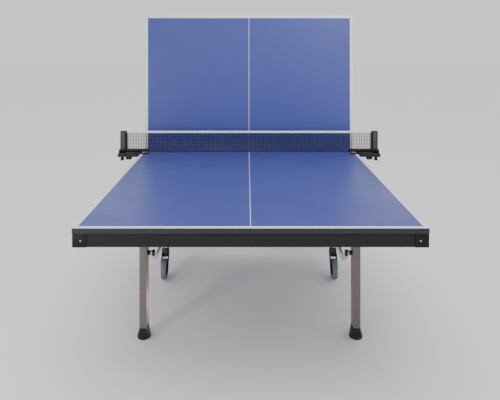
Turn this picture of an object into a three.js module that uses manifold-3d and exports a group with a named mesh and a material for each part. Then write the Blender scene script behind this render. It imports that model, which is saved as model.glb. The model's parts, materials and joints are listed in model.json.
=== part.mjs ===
// Folding table tennis table in its one-player position: the front half is down and
// the rear half stands upright behind the net. Millimetres, +Z up, the front end towards -Y.
//
// Each half swings on a hinge head that slides on a post of the rolling chassis. Its legs
// hang from it, and a cranked strut on each side keeps them upright as the half swings:
// half, leg, strut and hinge head are the four sides of a parallelogram.

import * as THREE from 'three';
import { mergeVertices } from 'three/addons/utils/BufferGeometryUtils.js';
import Module from 'manifold-3d';

const wasm = await Module();
wasm.setup();

// ---------------------------------------------------------------- driving dimensions

// Playing surface
const surfaceHeight = 760;
const tableWidth = 1525;
const halfLength = 1370;
const boardThickness = 25;
const meetingGap = 1;

// General clearances and tube sizes; overlap is how far joined shapes run into each other
// and how far cuts run past a face
const touch = 0.3;
const overlap = 1;
const cheekGap = 0.5;
const tubeWall = 2;
const tubeCorner = 4;
const plateThickness = 5;

// Apron rails and corner guards under each board
const railDepth = 59;
const railThickness = 25;
const railInset = 3;
const netRailInset = 35;
const netClampRoom = 75;
const guardLength = 61;
const guardRadius = 6;

// Beams that carry the hinge lugs and the leg brackets
const legLine = 557;
const beamDepth = 40;
const lugLength = 40;
const bracketLength = 80;
const bracketEnd = 22;

// Pivots of the fold, measured from the net edge and from the playing surface
const foldFromNet = 239;
const foldBelowSurface = 150;
const legFromNet = 888;
const legBelowSurface = 140;
const linkDrop = 180;
const drawBack = 15;
const mainPinRadius = 8;
const mainPinClearance = 0.5;
const linkPinRadius = 6;
const linkPinClearance = 0.7;
const openPivotClearance = 1.4;
const spacerRadius = 12;

// Legs and feet
const legWidth = 40;
const legDepth = 60;
const crossbarDrop = 70;
const crossbarHeight = 40;
const crossbarThickness = 25;
const footHeight = 57;
const footRadius = 35;
const footTopMargin = 4;
const footNeckGap = 2;
const footSoleShare = 0.9;
const footWidest = [0.16, 0.34];
const footShoulder = { radius: 0.93, height: 0.6 };
const footStemRadius = 6;
const footStemRise = 50;
const legPlug = 8;

// Struts and their knobs
const strutThickness = 8;
const strutHeight = 30;
const strutToLeg = 16;
const strutSag = 89;
const strutSagFromLeg = 139;
const strutShoulder = 64;
const strutShoulderFromHead = 171;
const knobRadius = 17;
const knobLength = 12;
const knobEdge = 2;
const pinIntoKnob = 9;

// Hinge heads
const headWidth = 60;
const headTopRadius = 18;
const webAboveLink = 56;
const taperAboveLink = 50;
const slotFromLink = 35;
const headBelowLink = 55;
const slideBoltRadius = 5;
const slideBoltClearance = 0.7;
const slideBoltHead = 9;
const slideBoltHeadHeight = 2;

// Chassis
const postWidth = 40;
const postDepth = 60;
const baseBottom = 200;
const baseHeight = 40;
const crossTubeFromNet = 120;
const bearingRadius = 22;
const bearingDepth = 9;

// Casters
const casterLine = 554;
const casterTrail = 40;
const wheelRadius = 62.5;
const tyreWidth = 32;
const tyreShoulder = 0.88;
const tyreInnerShare = 0.7;
const hubShare = 0.25;
const hubInset = 2;
const rimSlope = 3;
const wheelBore = 5.8;
const axleRadius = 5;
const forkHeadRadius = 25.5;
const forkAboveWheel = 8;
const forkPlate = 4;
const forkGap = 2.5;
const forkEnd = 14;
const forkEndArc = [Math.PI * 0.9, Math.PI * 1.85];
const casterStemRadius = 6.4;
const casterStemClearance = 0.6;
const casterStemRise = 24;

// Net set
const netHeight = 152.5;
const netThickness = 2;
const netLine = -3;
const netLift = 3;
const netOverhang = 153;
const netPostWidth = 45.5;
const netPostThickness = 20;
const armHeight = 20;
const armThickness = 12;
const armReach = 52;
const tiltRise = 12.5;
const tiltPinRadius = 4.5;
const tiltPinClearance = 0.5;
const tiltPinLength = 43.5;
const tiltBoreInset = 4;
const jawReach = 50;
const jawThickness = 4;
const jawDepth = 40;
const jawSetback = 22;
const jawOpening = 56;
const shelfDrop = 4;
const bracketOverlap = 2;
const shelfThickness = 18;
const shelfFront = -40;
const shelfBack = 12;
const cheekThickness = 9.5;
const cheekFromPost = 1;
const latchWidth = 36.4;
const latchInset = 14;
const latchDepth = 26;
const latchBackInset = 6;
const heightKnobRadius = 12.5;
const heightKnobDrops = [10, 33];
const heightKnobSeat = 4;
const screwRadius = 4;
const screwClearance = 0.6;
const screwPadRadius = 9;
const screwPadThickness = 5;
const screwKnobRadius = 15;
const screwKnobHeight = 18;
const screwLength = 68;

// Roundness of small and of large circles
const pinSides = 12;
const wheelSides = 20;

// ---------------------------------------------------------------- finishes

/** A plain finish for one kind of surface. */
function finish(color, roughness, metalness) {
  return new THREE.MeshStandardMaterial({ color, roughness, metalness });
}

const blueTop = finish(0x4d5f9d, 0.45, 0.0);
const blackSteel = finish(0x2b2b2e, 0.45, 0.3);
const blackPlastic = finish(0x242427, 0.55, 0.0);
const greySteel = finish(0x837975, 0.4, 0.4);
const paleSteel = finish(0xb6b2aa, 0.4, 0.4);
const greyRubber = finish(0x5a646b, 0.7, 0.0);
const navyNet = finish(0x242c51, 0.9, 0.0);

// ---------------------------------------------------------------- shape helpers

/** The closed mesh as a solid, with only its positions. */
function toSolid(geometry) {
  const bare = geometry.clone();
  bare.deleteAttribute('normal');
  bare.deleteAttribute('uv');
  const merged = mergeVertices(bare, 1e-4);
  return new wasm.Manifold(new wasm.Mesh({
    numProp: 3,
    vertProperties: new Float32Array(merged.attributes.position.array),
    triVerts: new Uint32Array(merged.index.array),
  }));
}

/** The joined shapes less the cut ones, as one geometry. */
function build(joined, cuts = []) {
  let solid = joined.map(toSolid).reduce((whole, next) => whole.add(next));
  for (const tool of cuts) {
    solid = solid.subtract(toSolid(tool));
  }
  const mesh = solid.getMesh();
  const geometry = new THREE.BufferGeometry();
  geometry.setAttribute('position', new THREE.BufferAttribute(mesh.vertProperties, 3));
  geometry.setIndex(new THREE.BufferAttribute(mesh.triVerts, 1));
  return geometry;
}

/** A box between two values on each axis, in either order. */
function box([x0, x1], [y0, y1], [z0, z1]) {
  const geometry = new THREE.BoxGeometry(Math.abs(x1 - x0), Math.abs(y1 - y0), Math.abs(z1 - z0));
  return geometry.translate((x0 + x1) / 2, (y0 + y1) / 2, (z0 + z1) / 2);
}

/** A round bar along X. */
function barX(radius, [x0, x1], y, z, sides = pinSides) {
  const geometry = new THREE.CylinderGeometry(radius, radius, Math.abs(x1 - x0), sides);
  return geometry.rotateZ(Math.PI / 2).translate((x0 + x1) / 2, y, z);
}

/** A round bar along Z. */
function barZ(radius, x, y, [z0, z1], sides = pinSides) {
  const geometry = new THREE.CylinderGeometry(radius, radius, Math.abs(z1 - z0), sides);
  return geometry.rotateX(Math.PI / 2).translate(x, y, (z0 + z1) / 2);
}

/** A flat shape drawn in Y and Z, given a thickness along X. */
function slabX(shape, [x0, x1], curveSegments = 4) {
  const depth = Math.abs(x1 - x0);
  const geometry = new THREE.ExtrudeGeometry(shape, { depth, bevelEnabled: false, curveSegments });
  const turn = new THREE.Matrix4().makeBasis(
    new THREE.Vector3(0, 1, 0), new THREE.Vector3(0, 0, 1), new THREE.Vector3(1, 0, 0));
  return geometry.applyMatrix4(turn).translate(Math.min(x0, x1), 0, 0);
}

/** A rectangle with rounded corners, centred on the origin. */
function roundedRectangle(width, height, radius) {
  const x = width / 2;
  const y = height / 2;
  const shape = new THREE.Shape();
  shape.moveTo(x - radius, -y);
  shape.absarc(x - radius, -y + radius, radius, -Math.PI / 2, 0);
  shape.absarc(x - radius, y - radius, radius, 0, Math.PI / 2);
  shape.absarc(-x + radius, y - radius, radius, Math.PI / 2, Math.PI);
  shape.absarc(-x + radius, -y + radius, radius, Math.PI, Math.PI * 1.5);
  return shape;
}

/** A hollow rectangular tube, open at both ends, centred on the origin and running along Z. */
function tube(width, height, length) {
  const outer = roundedRectangle(width, height, tubeCorner);
  outer.holes.push(new THREE.Path(
    roundedRectangle(width - 2 * tubeWall, height - 2 * tubeWall, tubeCorner / 2).getPoints(1)));
  const geometry = new THREE.ExtrudeGeometry(
    outer, { depth: length, bevelEnabled: false, curveSegments: 1 });
  return geometry.translate(0, 0, -length / 2);
}

/** A tube along X between two values, with its size in Y and Z. */
function tubeX([x0, x1], y, z, sizeY, sizeZ) {
  return tube(sizeZ, sizeY, x1 - x0).rotateY(Math.PI / 2).translate((x0 + x1) / 2, y, z);
}

/** A tube along Y between two values, with its size in X and Z. */
function tubeY([y0, y1], x, z, sizeX, sizeZ) {
  return tube(sizeX, sizeZ, y1 - y0).rotateX(Math.PI / 2).translate(x, (y0 + y1) / 2, z);
}

/** A plate outline with a round end at the origin that widens towards a straight edge. */
function roundEnd(radius, halfWidth, edge) {
  const shape = new THREE.Shape();
  const away = Math.sign(edge);
  shape.moveTo(halfWidth, edge);
  shape.lineTo(radius, 0);
  shape.absarc(0, 0, radius, 0, -away * Math.PI, away > 0);
  shape.lineTo(-halfWidth, edge);
  shape.closePath();
  return shape;
}

/** A solid of revolution about the X axis; the profile gives [along X, radius]. */
function turnedX(profile, sides) {
  const points = profile.map(([along, radius]) => new THREE.Vector2(radius, along));
  return new THREE.LatheGeometry(points, sides).rotateZ(-Math.PI / 2);
}

/** A solid of revolution about the Z axis; the profile gives [radius, height]. */
function turnedZ(profile, sides) {
  const points = profile.map(([radius, height]) => new THREE.Vector2(radius, height));
  return new THREE.LatheGeometry(points, sides).rotateX(Math.PI / 2);
}

/** Names a piece and puts it in its group. */
function place(group, name, geometry, material) {
  const mesh = new THREE.Mesh(geometry, material);
  mesh.name = name;
  group.add(mesh);
}

// ---------------------------------------------------------------- layers across the width

const legInner = legLine - legWidth / 2;
const legOuter = legLine + legWidth / 2;
const innerPlate = [legInner - cheekGap - plateThickness, legInner - cheekGap];
const outerPlate = [legOuter + cheekGap, legOuter + cheekGap + plateThickness];
const strutOuter = legInner - strutToLeg;
const strutInner = strutOuter - strutThickness;
const beamWidth = legWidth + 2 * cheekGap + overlap;
const lugFaces = [legInner + cheekGap, legOuter - cheekGap];

/** A span of distances from the middle, put on the right (+1) or left (-1) side. */
function onSide(side, [inner, outer]) {
  return [side * inner, side * outer];
}

// ---------------------------------------------------------------- placing the two halves

const foldPivotHeight = surfaceHeight - foldBelowSurface;
const legPivotOffset = new THREE.Vector3(
  0, foldFromNet - legFromNet, foldBelowSurface - legBelowSurface);

// The front half lies flat. The rear half is drawn back and turned up through a right angle.
const rows = [
  {
    row: 'front',
    pivotY: -foldFromNet,
    flat: new THREE.Euler(0, 0, 0),
    level: new THREE.Euler(0, 0, 0),
    facing: 1,
  },
  {
    row: 'rear',
    pivotY: foldFromNet + drawBack,
    flat: new THREE.Euler(Math.PI / 2, 0, Math.PI),
    level: new THREE.Euler(0, 0, Math.PI),
    facing: -1,
  },
];

const table = new THREE.Group();

/** A group at a place, turned as given, inside the table. */
function groupAt(x, y, z, turn) {
  const group = new THREE.Group();
  group.position.set(x, y, z);
  group.rotation.copy(turn);
  table.add(group);
  return group;
}

/** The name of a side, as someone standing at the front end sees it. */
function sideName(side, facing) {
  return side * facing > 0 ? 'right' : 'left';
}

// ---------------------------------------------------------------- one half of the top

// In a half's own frame the fold pivot is the origin, +Y points to the net edge and +Z to
// the playing surface.

/** Y of a point given by its distance from the net line. */
function fromNet(distance) {
  return foldFromNet - distance;
}

/** Z of a point given by its depth below the playing surface. */
function below(depth) {
  return foldBelowSurface - depth;
}

const railTop = boardThickness + touch;
const railZ = below(railTop + (railDepth - touch) / 2);
const railHeight = railDepth - touch;
const sideEdge = tableWidth / 2;
const guardThickness = railInset + railThickness;

/** The board with its playing surface. */
function boardShape() {
  return box([-sideEdge, sideEdge], [fromNet(meetingGap), fromNet(halfLength)],
    [below(0), below(boardThickness)]);
}

/** The L-shaped guard round one corner at the end of a half. */
function guardShape(side) {
  const shape = new THREE.Shape();
  shape.moveTo(guardRadius, 0);
  shape.lineTo(guardLength, 0);
  shape.lineTo(guardLength, guardThickness);
  shape.lineTo(guardThickness, guardThickness);
  shape.lineTo(guardThickness, guardLength);
  shape.lineTo(0, guardLength);
  shape.lineTo(0, guardRadius);
  shape.absarc(guardRadius, guardRadius, guardRadius, Math.PI, Math.PI * 1.5);
  const geometry = new THREE.ExtrudeGeometry(
    shape, { depth: railHeight, bevelEnabled: false, curveSegments: 2 });
  if (side > 0) {
    geometry.rotateZ(Math.PI / 2);
  }
  return geometry.translate(side * sideEdge, fromNet(halfLength), below(railTop + railHeight));
}

/** A beam along the half with its hinge lug and the two plates of its leg bracket. */
function beamShape(side) {
  const x = side * legLine;
  const top = below(railTop);
  const bottom = top - beamDepth;
  const start = fromNet(netRailInset + railThickness + touch);
  const end = fromNet(halfLength - guardThickness - touch);
  const lug = slabX(roundEnd(lugLength / 2, lugLength / 2, bottom + tubeWall / 2),
    onSide(side, lugFaces));
  const plate = roundEnd(bracketEnd, bracketLength / 2, top - tubeWall - legPivotOffset.z);
  const plates = [innerPlate, outerPlate].map((span) =>
    slabX(plate, onSide(side, span)).translate(0, legPivotOffset.y, legPivotOffset.z));
  const pin = barX(mainPinRadius, onSide(side, [innerPlate[0] + overlap, outerPlate[1] - overlap]),
    legPivotOffset.y, legPivotOffset.z);
  const bore = barX(mainPinRadius + mainPinClearance,
    onSide(side, [innerPlate[0], outerPlate[1]]), 0, 0);
  return build([tubeY([end, start], x, top - beamDepth / 2, beamWidth, beamDepth),
    lug, ...plates, pin], [bore]);
}

/** Everything fixed to one half. */
function makeHalf({ row, pivotY, flat, facing }) {
  const group = groupAt(0, pivotY, foldPivotHeight, flat);
  place(group, `${row}_board`, boardShape(), blueTop);
  const railEnd = sideEdge - guardLength - touch;
  const endY = fromNet(halfLength - railInset - railThickness / 2);
  place(group, `${row}_end_rail`,
    tubeX([-railEnd, railEnd], endY, railZ, railThickness, railHeight), blackSteel);
  const netEnd = sideEdge - jawReach - 2 * jawThickness - touch;
  const netY = fromNet(netRailInset + railThickness / 2);
  place(group, `${row}_net_rail`,
    tubeX([-netEnd, netEnd], netY, railZ, railThickness, railHeight), blackSteel);
  const sideSpan = [fromNet(halfLength - guardLength - touch), fromNet(netClampRoom)];
  for (const side of [-1, 1]) {
    const name = sideName(side, facing);
    const sideX = side * (sideEdge - railInset - railThickness / 2);
    place(group, `${row}_side_rail_${name}`,
      tubeY(sideSpan, sideX, railZ, railThickness, railHeight), blackSteel);
    place(group, `${row}_corner_guard_${name}`, guardShape(side), blackPlastic);
    place(group, `${row}_beam_${name}`, beamShape(side), blackSteel);
  }
}

// ---------------------------------------------------------------- legs

const legPivotHeight = surfaceHeight - legBelowSurface;
const footTopWidth = legWidth + footTopMargin;
const footTopDepth = legDepth + footTopMargin;
const legBottom = footHeight + footNeckGap - legPivotHeight;

/** A leg tube with its rounded top, its strut pin and the threaded plug at its foot. */
function legShape(side) {
  const outer = slabX(roundEnd(legDepth / 2, legDepth / 2, legBottom),
    onSide(side, [legInner, legOuter]));
  const hollow = box(onSide(side, [legInner + tubeWall, legOuter - tubeWall]),
    [-legDepth / 2 + tubeWall, legDepth / 2 - tubeWall],
    [legBottom + legPlug, -2 * mainPinRadius]);
  const bore = barX(mainPinRadius + mainPinClearance,
    onSide(side, [legInner - overlap, legOuter + overlap]), 0, 0);
  const stemHole = barZ(footStemRadius + cheekGap, side * legLine, 0,
    [legBottom - overlap, legBottom + legPlug + overlap]);
  const spacer = barX(spacerRadius,
    onSide(side, [strutOuter + touch, legInner + overlap]), 0, -linkDrop);
  const pin = barX(linkPinRadius,
    onSide(side, [strutInner - pinIntoKnob, legInner + overlap]), 0, -linkDrop);
  return build([outer, spacer, pin], [hollow, bore, stemHole]);
}

/** A bell-shaped levelling foot, round on the floor and oblong where the leg stands on it. */
function footShape() {
  const bell = turnedZ([
    [0, 0],
    [footRadius * footSoleShare, 0],
    ...footWidest.map((share) => [footRadius, footHeight * share]),
    [footRadius * footShoulder.radius, footHeight * footShoulder.height],
    [footTopDepth / 2, footHeight],
    [0, footHeight],
  ], wheelSides);
  const position = bell.attributes.position;
  const narrowFrom = footHeight * footWidest[1];
  for (let i = 0; i < position.count; i += 1) {
    const rise = Math.max(0, position.getZ(i) - narrowFrom) / (footHeight - narrowFrom);
    const narrowing = THREE.MathUtils.lerp(1, footTopWidth / footTopDepth, rise);
    position.setX(i, position.getX(i) * narrowing);
  }
  const stem = barZ(footStemRadius, 0, 0, [footHeight - overlap, footHeight + footStemRise]);
  return build([bell, stem]);
}

/** The legs of one half with their crossbar and feet. */
function makeLegs({ row, pivotY, flat, level, facing }) {
  const pivot = legPivotOffset.clone().applyEuler(flat);
  const group = groupAt(0, pivotY + pivot.y, foldPivotHeight + pivot.z, level);
  const barEnd = legInner - touch;
  place(group, `${row}_leg_crossbar`,
    tubeX([-barEnd, barEnd], 0, -crossbarDrop, crossbarThickness, crossbarHeight), greySteel);
  for (const side of [-1, 1]) {
    const name = sideName(side, facing);
    place(group, `${row}_leg_${name}`, legShape(side), greySteel);
    const foot = footShape().translate(side * legLine, 0, -legPivotHeight);
    place(group, `${row}_foot_${name}`, foot, blackPlastic);
  }
}

// ---------------------------------------------------------------- struts

/** A cranked flat bar from the hinge head, at the origin, to the pin on the leg. */
function strutShape(side) {
  const span = onSide(side, [strutInner, strutOuter]);
  const legY = legPivotOffset.y;
  const legZ = legPivotOffset.z;
  const bends = [
    [0, 0],
    [-strutShoulderFromHead, -strutShoulder],
    [legY + strutSagFromLeg, -strutSag],
    [legY, legZ],
  ];
  const pieces = bends.map(([y, z]) => barX(strutHeight / 2, span, y, z));
  for (let i = 1; i < bends.length; i += 1) {
    const [y0, z0] = bends[i - 1];
    const [y1, z1] = bends[i];
    const length = Math.hypot(y1 - y0, z1 - z0);
    const bar = box(span, [-length / 2, length / 2], [-strutHeight / 2, strutHeight / 2]);
    bar.rotateX(Math.atan2(z1 - z0, y1 - y0));
    pieces.push(bar.translate(0, (y0 + y1) / 2, (z0 + z1) / 2));
  }
  const through = onSide(side, [strutInner - overlap, strutOuter + overlap]);
  return build(pieces, [
    barX(linkPinRadius + linkPinClearance, through, 0, 0),
    barX(linkPinRadius + openPivotClearance, through, legY, legZ),
  ]);
}

/** The round knob on the strut's pin, with a blind bore for the pin's end. */
function knobShape(side) {
  const inner = strutInner - touch - knobLength;
  const outer = strutInner - touch;
  const half = knobLength / 2;
  const body = turnedX([[-half, 0], [-half, knobRadius - knobEdge], [knobEdge - half, knobRadius],
    [half - knobEdge, knobRadius], [half, knobRadius - knobEdge], [half, 0]], wheelSides);
  const bore = barX(linkPinRadius + linkPinClearance,
    onSide(side, [strutInner - pinIntoKnob - overlap, outer + overlap]), 0, 0);
  return build([body.translate(side * (inner + outer) / 2, 0, 0)], [bore]);
}

/** The two struts of one half, and a knob where each meets its leg. */
function makeStruts({ row, pivotY, flat, facing }) {
  const group = groupAt(0, pivotY, foldPivotHeight - linkDrop, flat);
  for (const side of [-1, 1]) {
    const name = sideName(side, facing);
    place(group, `${row}_strut_${name}`, strutShape(side), paleSteel);
    const knob = knobShape(side).translate(0, legPivotOffset.y, legPivotOffset.z);
    place(group, `${row}_strut_knob_${name}`, knob, blackPlastic);
  }
}

// ---------------------------------------------------------------- hinge heads

const webDrop = linkDrop - webAboveLink;
const slotDrops = [linkDrop - slotFromLink, linkDrop + slotFromLink];

/** One side plate of a hinge head, with its two slide slots. */
function headPlate(span) {
  const shape = new THREE.Shape();
  const half = headWidth / 2;
  const bottom = -linkDrop - headBelowLink;
  const taper = -linkDrop + taperAboveLink;
  shape.moveTo(-half, bottom);
  shape.lineTo(half, bottom);
  shape.lineTo(half, taper);
  shape.lineTo(headTopRadius, 0);
  shape.absarc(0, 0, headTopRadius, 0, Math.PI);
  shape.lineTo(-half, taper);
  shape.closePath();
  const radius = slideBoltRadius + slideBoltClearance;
  for (const drop of slotDrops) {
    const slot = new THREE.Path();
    slot.absarc(drawBack, -drop, radius, -Math.PI / 2, Math.PI / 2);
    slot.absarc(0, -drop, radius, Math.PI / 2, Math.PI * 1.5);
    slot.closePath();
    shape.holes.push(slot);
  }
  return slabX(shape, span, 3);
}

/** A hinge head: two plates beside the post, a web over it and the pins it carries. */
function headShape(side) {
  const plates = [innerPlate, outerPlate].map((span) => headPlate(onSide(side, span)));
  const web = box(onSide(side, [innerPlate[1] - overlap, outerPlate[0] + overlap]),
    [-headWidth / 2, headWidth / 2], [-webDrop - plateThickness, -webDrop]);
  const mainPin = barX(mainPinRadius,
    onSide(side, [innerPlate[0] + overlap, outerPlate[1] - overlap]), 0, 0);
  const capInner = strutInner - touch - plateThickness;
  const linkPin = barX(linkPinRadius, onSide(side, [capInner, innerPlate[1]]), 0, -linkDrop);
  const cap = barX(spacerRadius, onSide(side, [capInner, strutInner - touch]), 0, -linkDrop);
  const spacer = barX(spacerRadius,
    onSide(side, [strutOuter + touch, innerPlate[0] + overlap]), 0, -linkDrop);
  return build([...plates, web, mainPin, linkPin, cap, spacer]);
}

/** The two hinge heads of one half. */
function makeHeads({ row, pivotY, level, facing }) {
  const group = groupAt(0, pivotY, foldPivotHeight, level);
  for (const side of [-1, 1]) {
    place(group, `${row}_hinge_head_${sideName(side, facing)}`, headShape(side), blackSteel);
  }
}

// ---------------------------------------------------------------- chassis

const postTop = foldPivotHeight - webDrop - plateThickness - cheekGap;
const baseTop = baseBottom + baseHeight;
const frameEnd = foldFromNet + postDepth / 2;

/** One side of the chassis: a base rail, two posts with slide bolts, two caster bearings. */
function sideFrameShape(side) {
  const faces = onSide(side, [legLine - postWidth / 2, legLine + postWidth / 2]);
  const hollow = onSide(side,
    [legLine - postWidth / 2 + tubeWall, legLine + postWidth / 2 - tubeWall]);
  const joined = [box(faces, [-frameEnd, frameEnd], [baseBottom, baseTop])];
  const cuts = [box(hollow, [-frameEnd - overlap, frameEnd + overlap],
    [baseBottom + tubeWall, baseTop - tubeWall])];
  for (const end of [-1, 1]) {
    const y = end * foldFromNet;
    joined.push(box(faces, [y - postDepth / 2, y + postDepth / 2], [baseTop - overlap, postTop]));
    cuts.push(box(hollow, [y - postDepth / 2 + tubeWall, y + postDepth / 2 - tubeWall],
      [baseTop - 2 * tubeWall, postTop + overlap]));
    for (const drop of slotDrops) {
      const z = foldPivotHeight - drop;
      const inner = [innerPlate[0] - touch - slideBoltHeadHeight, innerPlate[0] - touch];
      const outer = [outerPlate[1] + touch, outerPlate[1] + touch + slideBoltHeadHeight];
      joined.push(barX(slideBoltRadius, onSide(side, [inner[0], outer[1]]), y, z));
      joined.push(barX(slideBoltHead, onSide(side, inner), y, z));
      joined.push(barX(slideBoltHead, onSide(side, outer), y, z));
    }
    joined.push(barZ(bearingRadius, side * casterLine, y,
      [baseBottom - bearingDepth, baseBottom + tubeWall / 2]));
    cuts.push(barZ(casterStemRadius + casterStemClearance, side * casterLine, y,
      [baseBottom - bearingDepth - overlap, baseBottom + 2 * tubeWall]));
  }
  return build(joined, cuts);
}

/** The rolling chassis: two side frames and the two tubes across. */
function makeChassis() {
  const group = groupAt(0, 0, 0, new THREE.Euler());
  for (const side of [-1, 1]) {
    place(group, `side_frame_${sideName(side, 1)}`, sideFrameShape(side), blackSteel);
  }
  const end = legLine - postWidth / 2 - touch;
  for (const { row, facing } of rows) {
    place(group, `cross_tube_${row}`, tubeX([-end, end], -facing * crossTubeFromNet,
      (baseBottom + baseTop) / 2, baseHeight, baseHeight), blackSteel);
  }
}

// ---------------------------------------------------------------- casters

const forkHeadBottom = 2 * wheelRadius + forkAboveWheel;

/** A caster fork about its swivel axis, with its stem and the wheel's axle. */
function forkShape() {
  const top = baseBottom - bearingDepth - touch;
  const inside = tyreWidth / 2 + forkGap;
  const shoulder = (forkHeadBottom + top) / 2;
  const plate = new THREE.Shape();
  plate.moveTo(forkHeadRadius - forkPlate, shoulder);
  plate.lineTo(-forkHeadRadius + forkPlate, shoulder);
  plate.absarc(-casterTrail, wheelRadius, forkEnd, ...forkEndArc);
  plate.closePath();
  const head = barZ(forkHeadRadius, 0, 0, [forkHeadBottom, top], wheelSides);
  const stem = barZ(casterStemRadius, 0, 0, [top - overlap, top + casterStemRise]);
  const axle = barX(axleRadius, [-inside - forkPlate, inside + forkPlate],
    -casterTrail, wheelRadius);
  const plates = [-1, 1].map((side) =>
    slabX(plate, [side * inside, side * (inside + forkPlate)]));
  return build([head, stem, axle, ...plates]);
}

/** A caster wheel with its tyre, web and hub, about its axle. */
function wheelShape() {
  const half = tyreWidth / 2;
  const hubHalf = half - hubInset;
  const webHalf = half / 2;
  const tyreInner = wheelRadius * tyreInnerShare;
  const hubRadius = wheelRadius * hubShare;
  const shoulder = wheelRadius * tyreShoulder;
  return turnedX([
    [-hubHalf, wheelBore], [-hubHalf, hubRadius], [-webHalf, hubRadius + hubInset],
    [-webHalf, tyreInner - rimSlope], [-half, tyreInner], [-half, shoulder],
    [-half / 2, wheelRadius], [half / 2, wheelRadius], [half, shoulder],
    [half, tyreInner], [webHalf, tyreInner - rimSlope], [webHalf, hubRadius + hubInset],
    [hubHalf, hubRadius], [hubHalf, wheelBore], [-hubHalf, wheelBore],
  ], wheelSides);
}

/** The four casters. */
function makeCasters() {
  for (const { row, level, facing } of rows) {
    for (const side of [-1, 1]) {
      const name = sideName(side, facing);
      const x = side * facing * casterLine;
      const group = groupAt(x, -facing * foldFromNet, 0, level);
      place(group, `${row}_caster_fork_${name}`, forkShape(), blackSteel);
      const wheel = wheelShape().translate(0, -casterTrail, wheelRadius);
      place(group, `${row}_caster_wheel_${name}`, wheel, greyRubber);
    }
  }
}

// ---------------------------------------------------------------- net set

const tiltAxisHeight = surfaceHeight + tiltRise;
const netTop = surfaceHeight + netHeight;
const postLine = sideEdge + netOverhang;
const postInner = postLine - netPostWidth;
const shelfTop = surfaceHeight - shelfDrop;
const jawWall = [sideEdge + cheekGap, sideEdge + cheekGap + 1.5 * jawThickness];
const jawY = [-jawSetback - jawDepth, -jawSetback];
const jawInner = sideEdge - jawReach;

/** The clamp bracket: jaws on the board's corner, a shelf and the cheek of the tilt pin. */
function bracketShape(side) {
  const lowerTop = surfaceHeight - jawOpening;
  const screwX = side * (sideEdge - jawReach / 2);
  const screwY = (jawY[0] + jawY[1]) / 2;
  const shelfStart = jawWall[1] - bracketOverlap;
  const shelfZ = [shelfTop - shelfThickness, shelfTop];
  const cheek = [postLine + cheekFromPost, postLine + cheekFromPost + cheekThickness];
  const cheekRadius = netPostThickness / 2 - cheekGap;
  const cheekFoot = shelfTop - bracketOverlap - tiltAxisHeight;
  const cheekPlate = slabX(roundEnd(cheekRadius, cheekRadius, cheekFoot), onSide(side, cheek));
  const pinEnd = cheek[0] + bracketOverlap;
  const knobX = side * (postLine - screwKnobRadius);
  const bodyX = onSide(side, [postInner - latchWidth, postInner + jawThickness]);
  return build([
    box(onSide(side, [jawInner, jawWall[1]]), jawY,
      [surfaceHeight + touch, surfaceHeight + touch + jawThickness]),
    box(onSide(side, jawWall), jawY,
      [lowerTop - overlap, surfaceHeight + touch + jawThickness / 2]),
    box(onSide(side, [jawInner, jawWall[1]]), jawY, [lowerTop - 1.5 * jawThickness, lowerTop]),
    box(onSide(side, [shelfStart, cheek[1]]), [shelfFront, shelfBack], shelfZ),
    cheekPlate.translate(0, netLine, tiltAxisHeight),
    barX(tiltPinRadius, onSide(side, [pinEnd - tiltPinLength, pinEnd]), netLine, tiltAxisHeight),
    box(bodyX, [shelfFront + latchInset, shelfBack - latchBackInset],
      [shelfZ[0] - latchDepth, shelfZ[0] + overlap]),
    barZ(linkPinRadius, knobX, -shelfBack,
      [shelfZ[0] - heightKnobDrops[0] - heightKnobSeat, shelfZ[0] + overlap]),
    barZ(heightKnobRadius, knobX, -shelfBack,
      [shelfZ[0] - heightKnobDrops[1], shelfZ[0] - heightKnobDrops[0]]),
  ], [barZ(screwRadius + screwClearance, screwX, screwY,
    [lowerTop - 2 * jawThickness, lowerTop + overlap])]);
}

/** The clamp screw that presses its pad on the board from below. */
function clampScrewShape(side) {
  const x = side * (sideEdge - jawReach / 2);
  const y = (jawY[0] + jawY[1]) / 2;
  const padTop = surfaceHeight - boardThickness - touch;
  const bottom = padTop - screwLength;
  return build([
    barZ(screwPadRadius, x, y, [padTop - screwPadThickness, padTop]),
    barZ(screwRadius, x, y, [bottom + overlap, padTop - overlap]),
    barZ(screwKnobRadius, x, y, [bottom, bottom + screwKnobHeight], wheelSides),
  ]);
}

/** A net post with its arm over the board and the bore of the tilt pin. */
function netPostShape(side) {
  const half = netPostThickness / 2;
  const post = slabX(roundEnd(half, half, netTop - tiltAxisHeight),
    onSide(side, [postInner, postLine]));
  const arm = box(onSide(side, [sideEdge - armReach, postInner + overlap]),
    [-armThickness / 2, armThickness / 2], [-armHeight / 2, armHeight / 2]);
  const bore = barX(tiltPinRadius + tiltPinClearance,
    onSide(side, [postInner + tiltBoreInset, postLine + overlap]), 0, 0);
  return build([post, arm], [bore]).translate(0, netLine, tiltAxisHeight);
}

/** The net, with its lower corners cut away over the two arms. */
function netShape() {
  const end = postInner - touch;
  const notch = sideEdge - armReach - touch;
  const bottom = surfaceHeight + netLift;
  const overArm = tiltAxisHeight + armHeight / 2 + touch;
  const shape = new THREE.Shape();
  shape.moveTo(-notch, bottom);
  shape.lineTo(notch, bottom);
  shape.lineTo(notch, overArm);
  shape.lineTo(end, overArm);
  shape.lineTo(end, netTop);
  shape.lineTo(-end, netTop);
  shape.lineTo(-end, overArm);
  shape.lineTo(-notch, overArm);
  shape.closePath();
  const geometry = new THREE.ExtrudeGeometry(shape, { depth: netThickness, bevelEnabled: false });
  return geometry.rotateX(Math.PI / 2).translate(0, netLine + netThickness / 2, 0);
}

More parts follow.
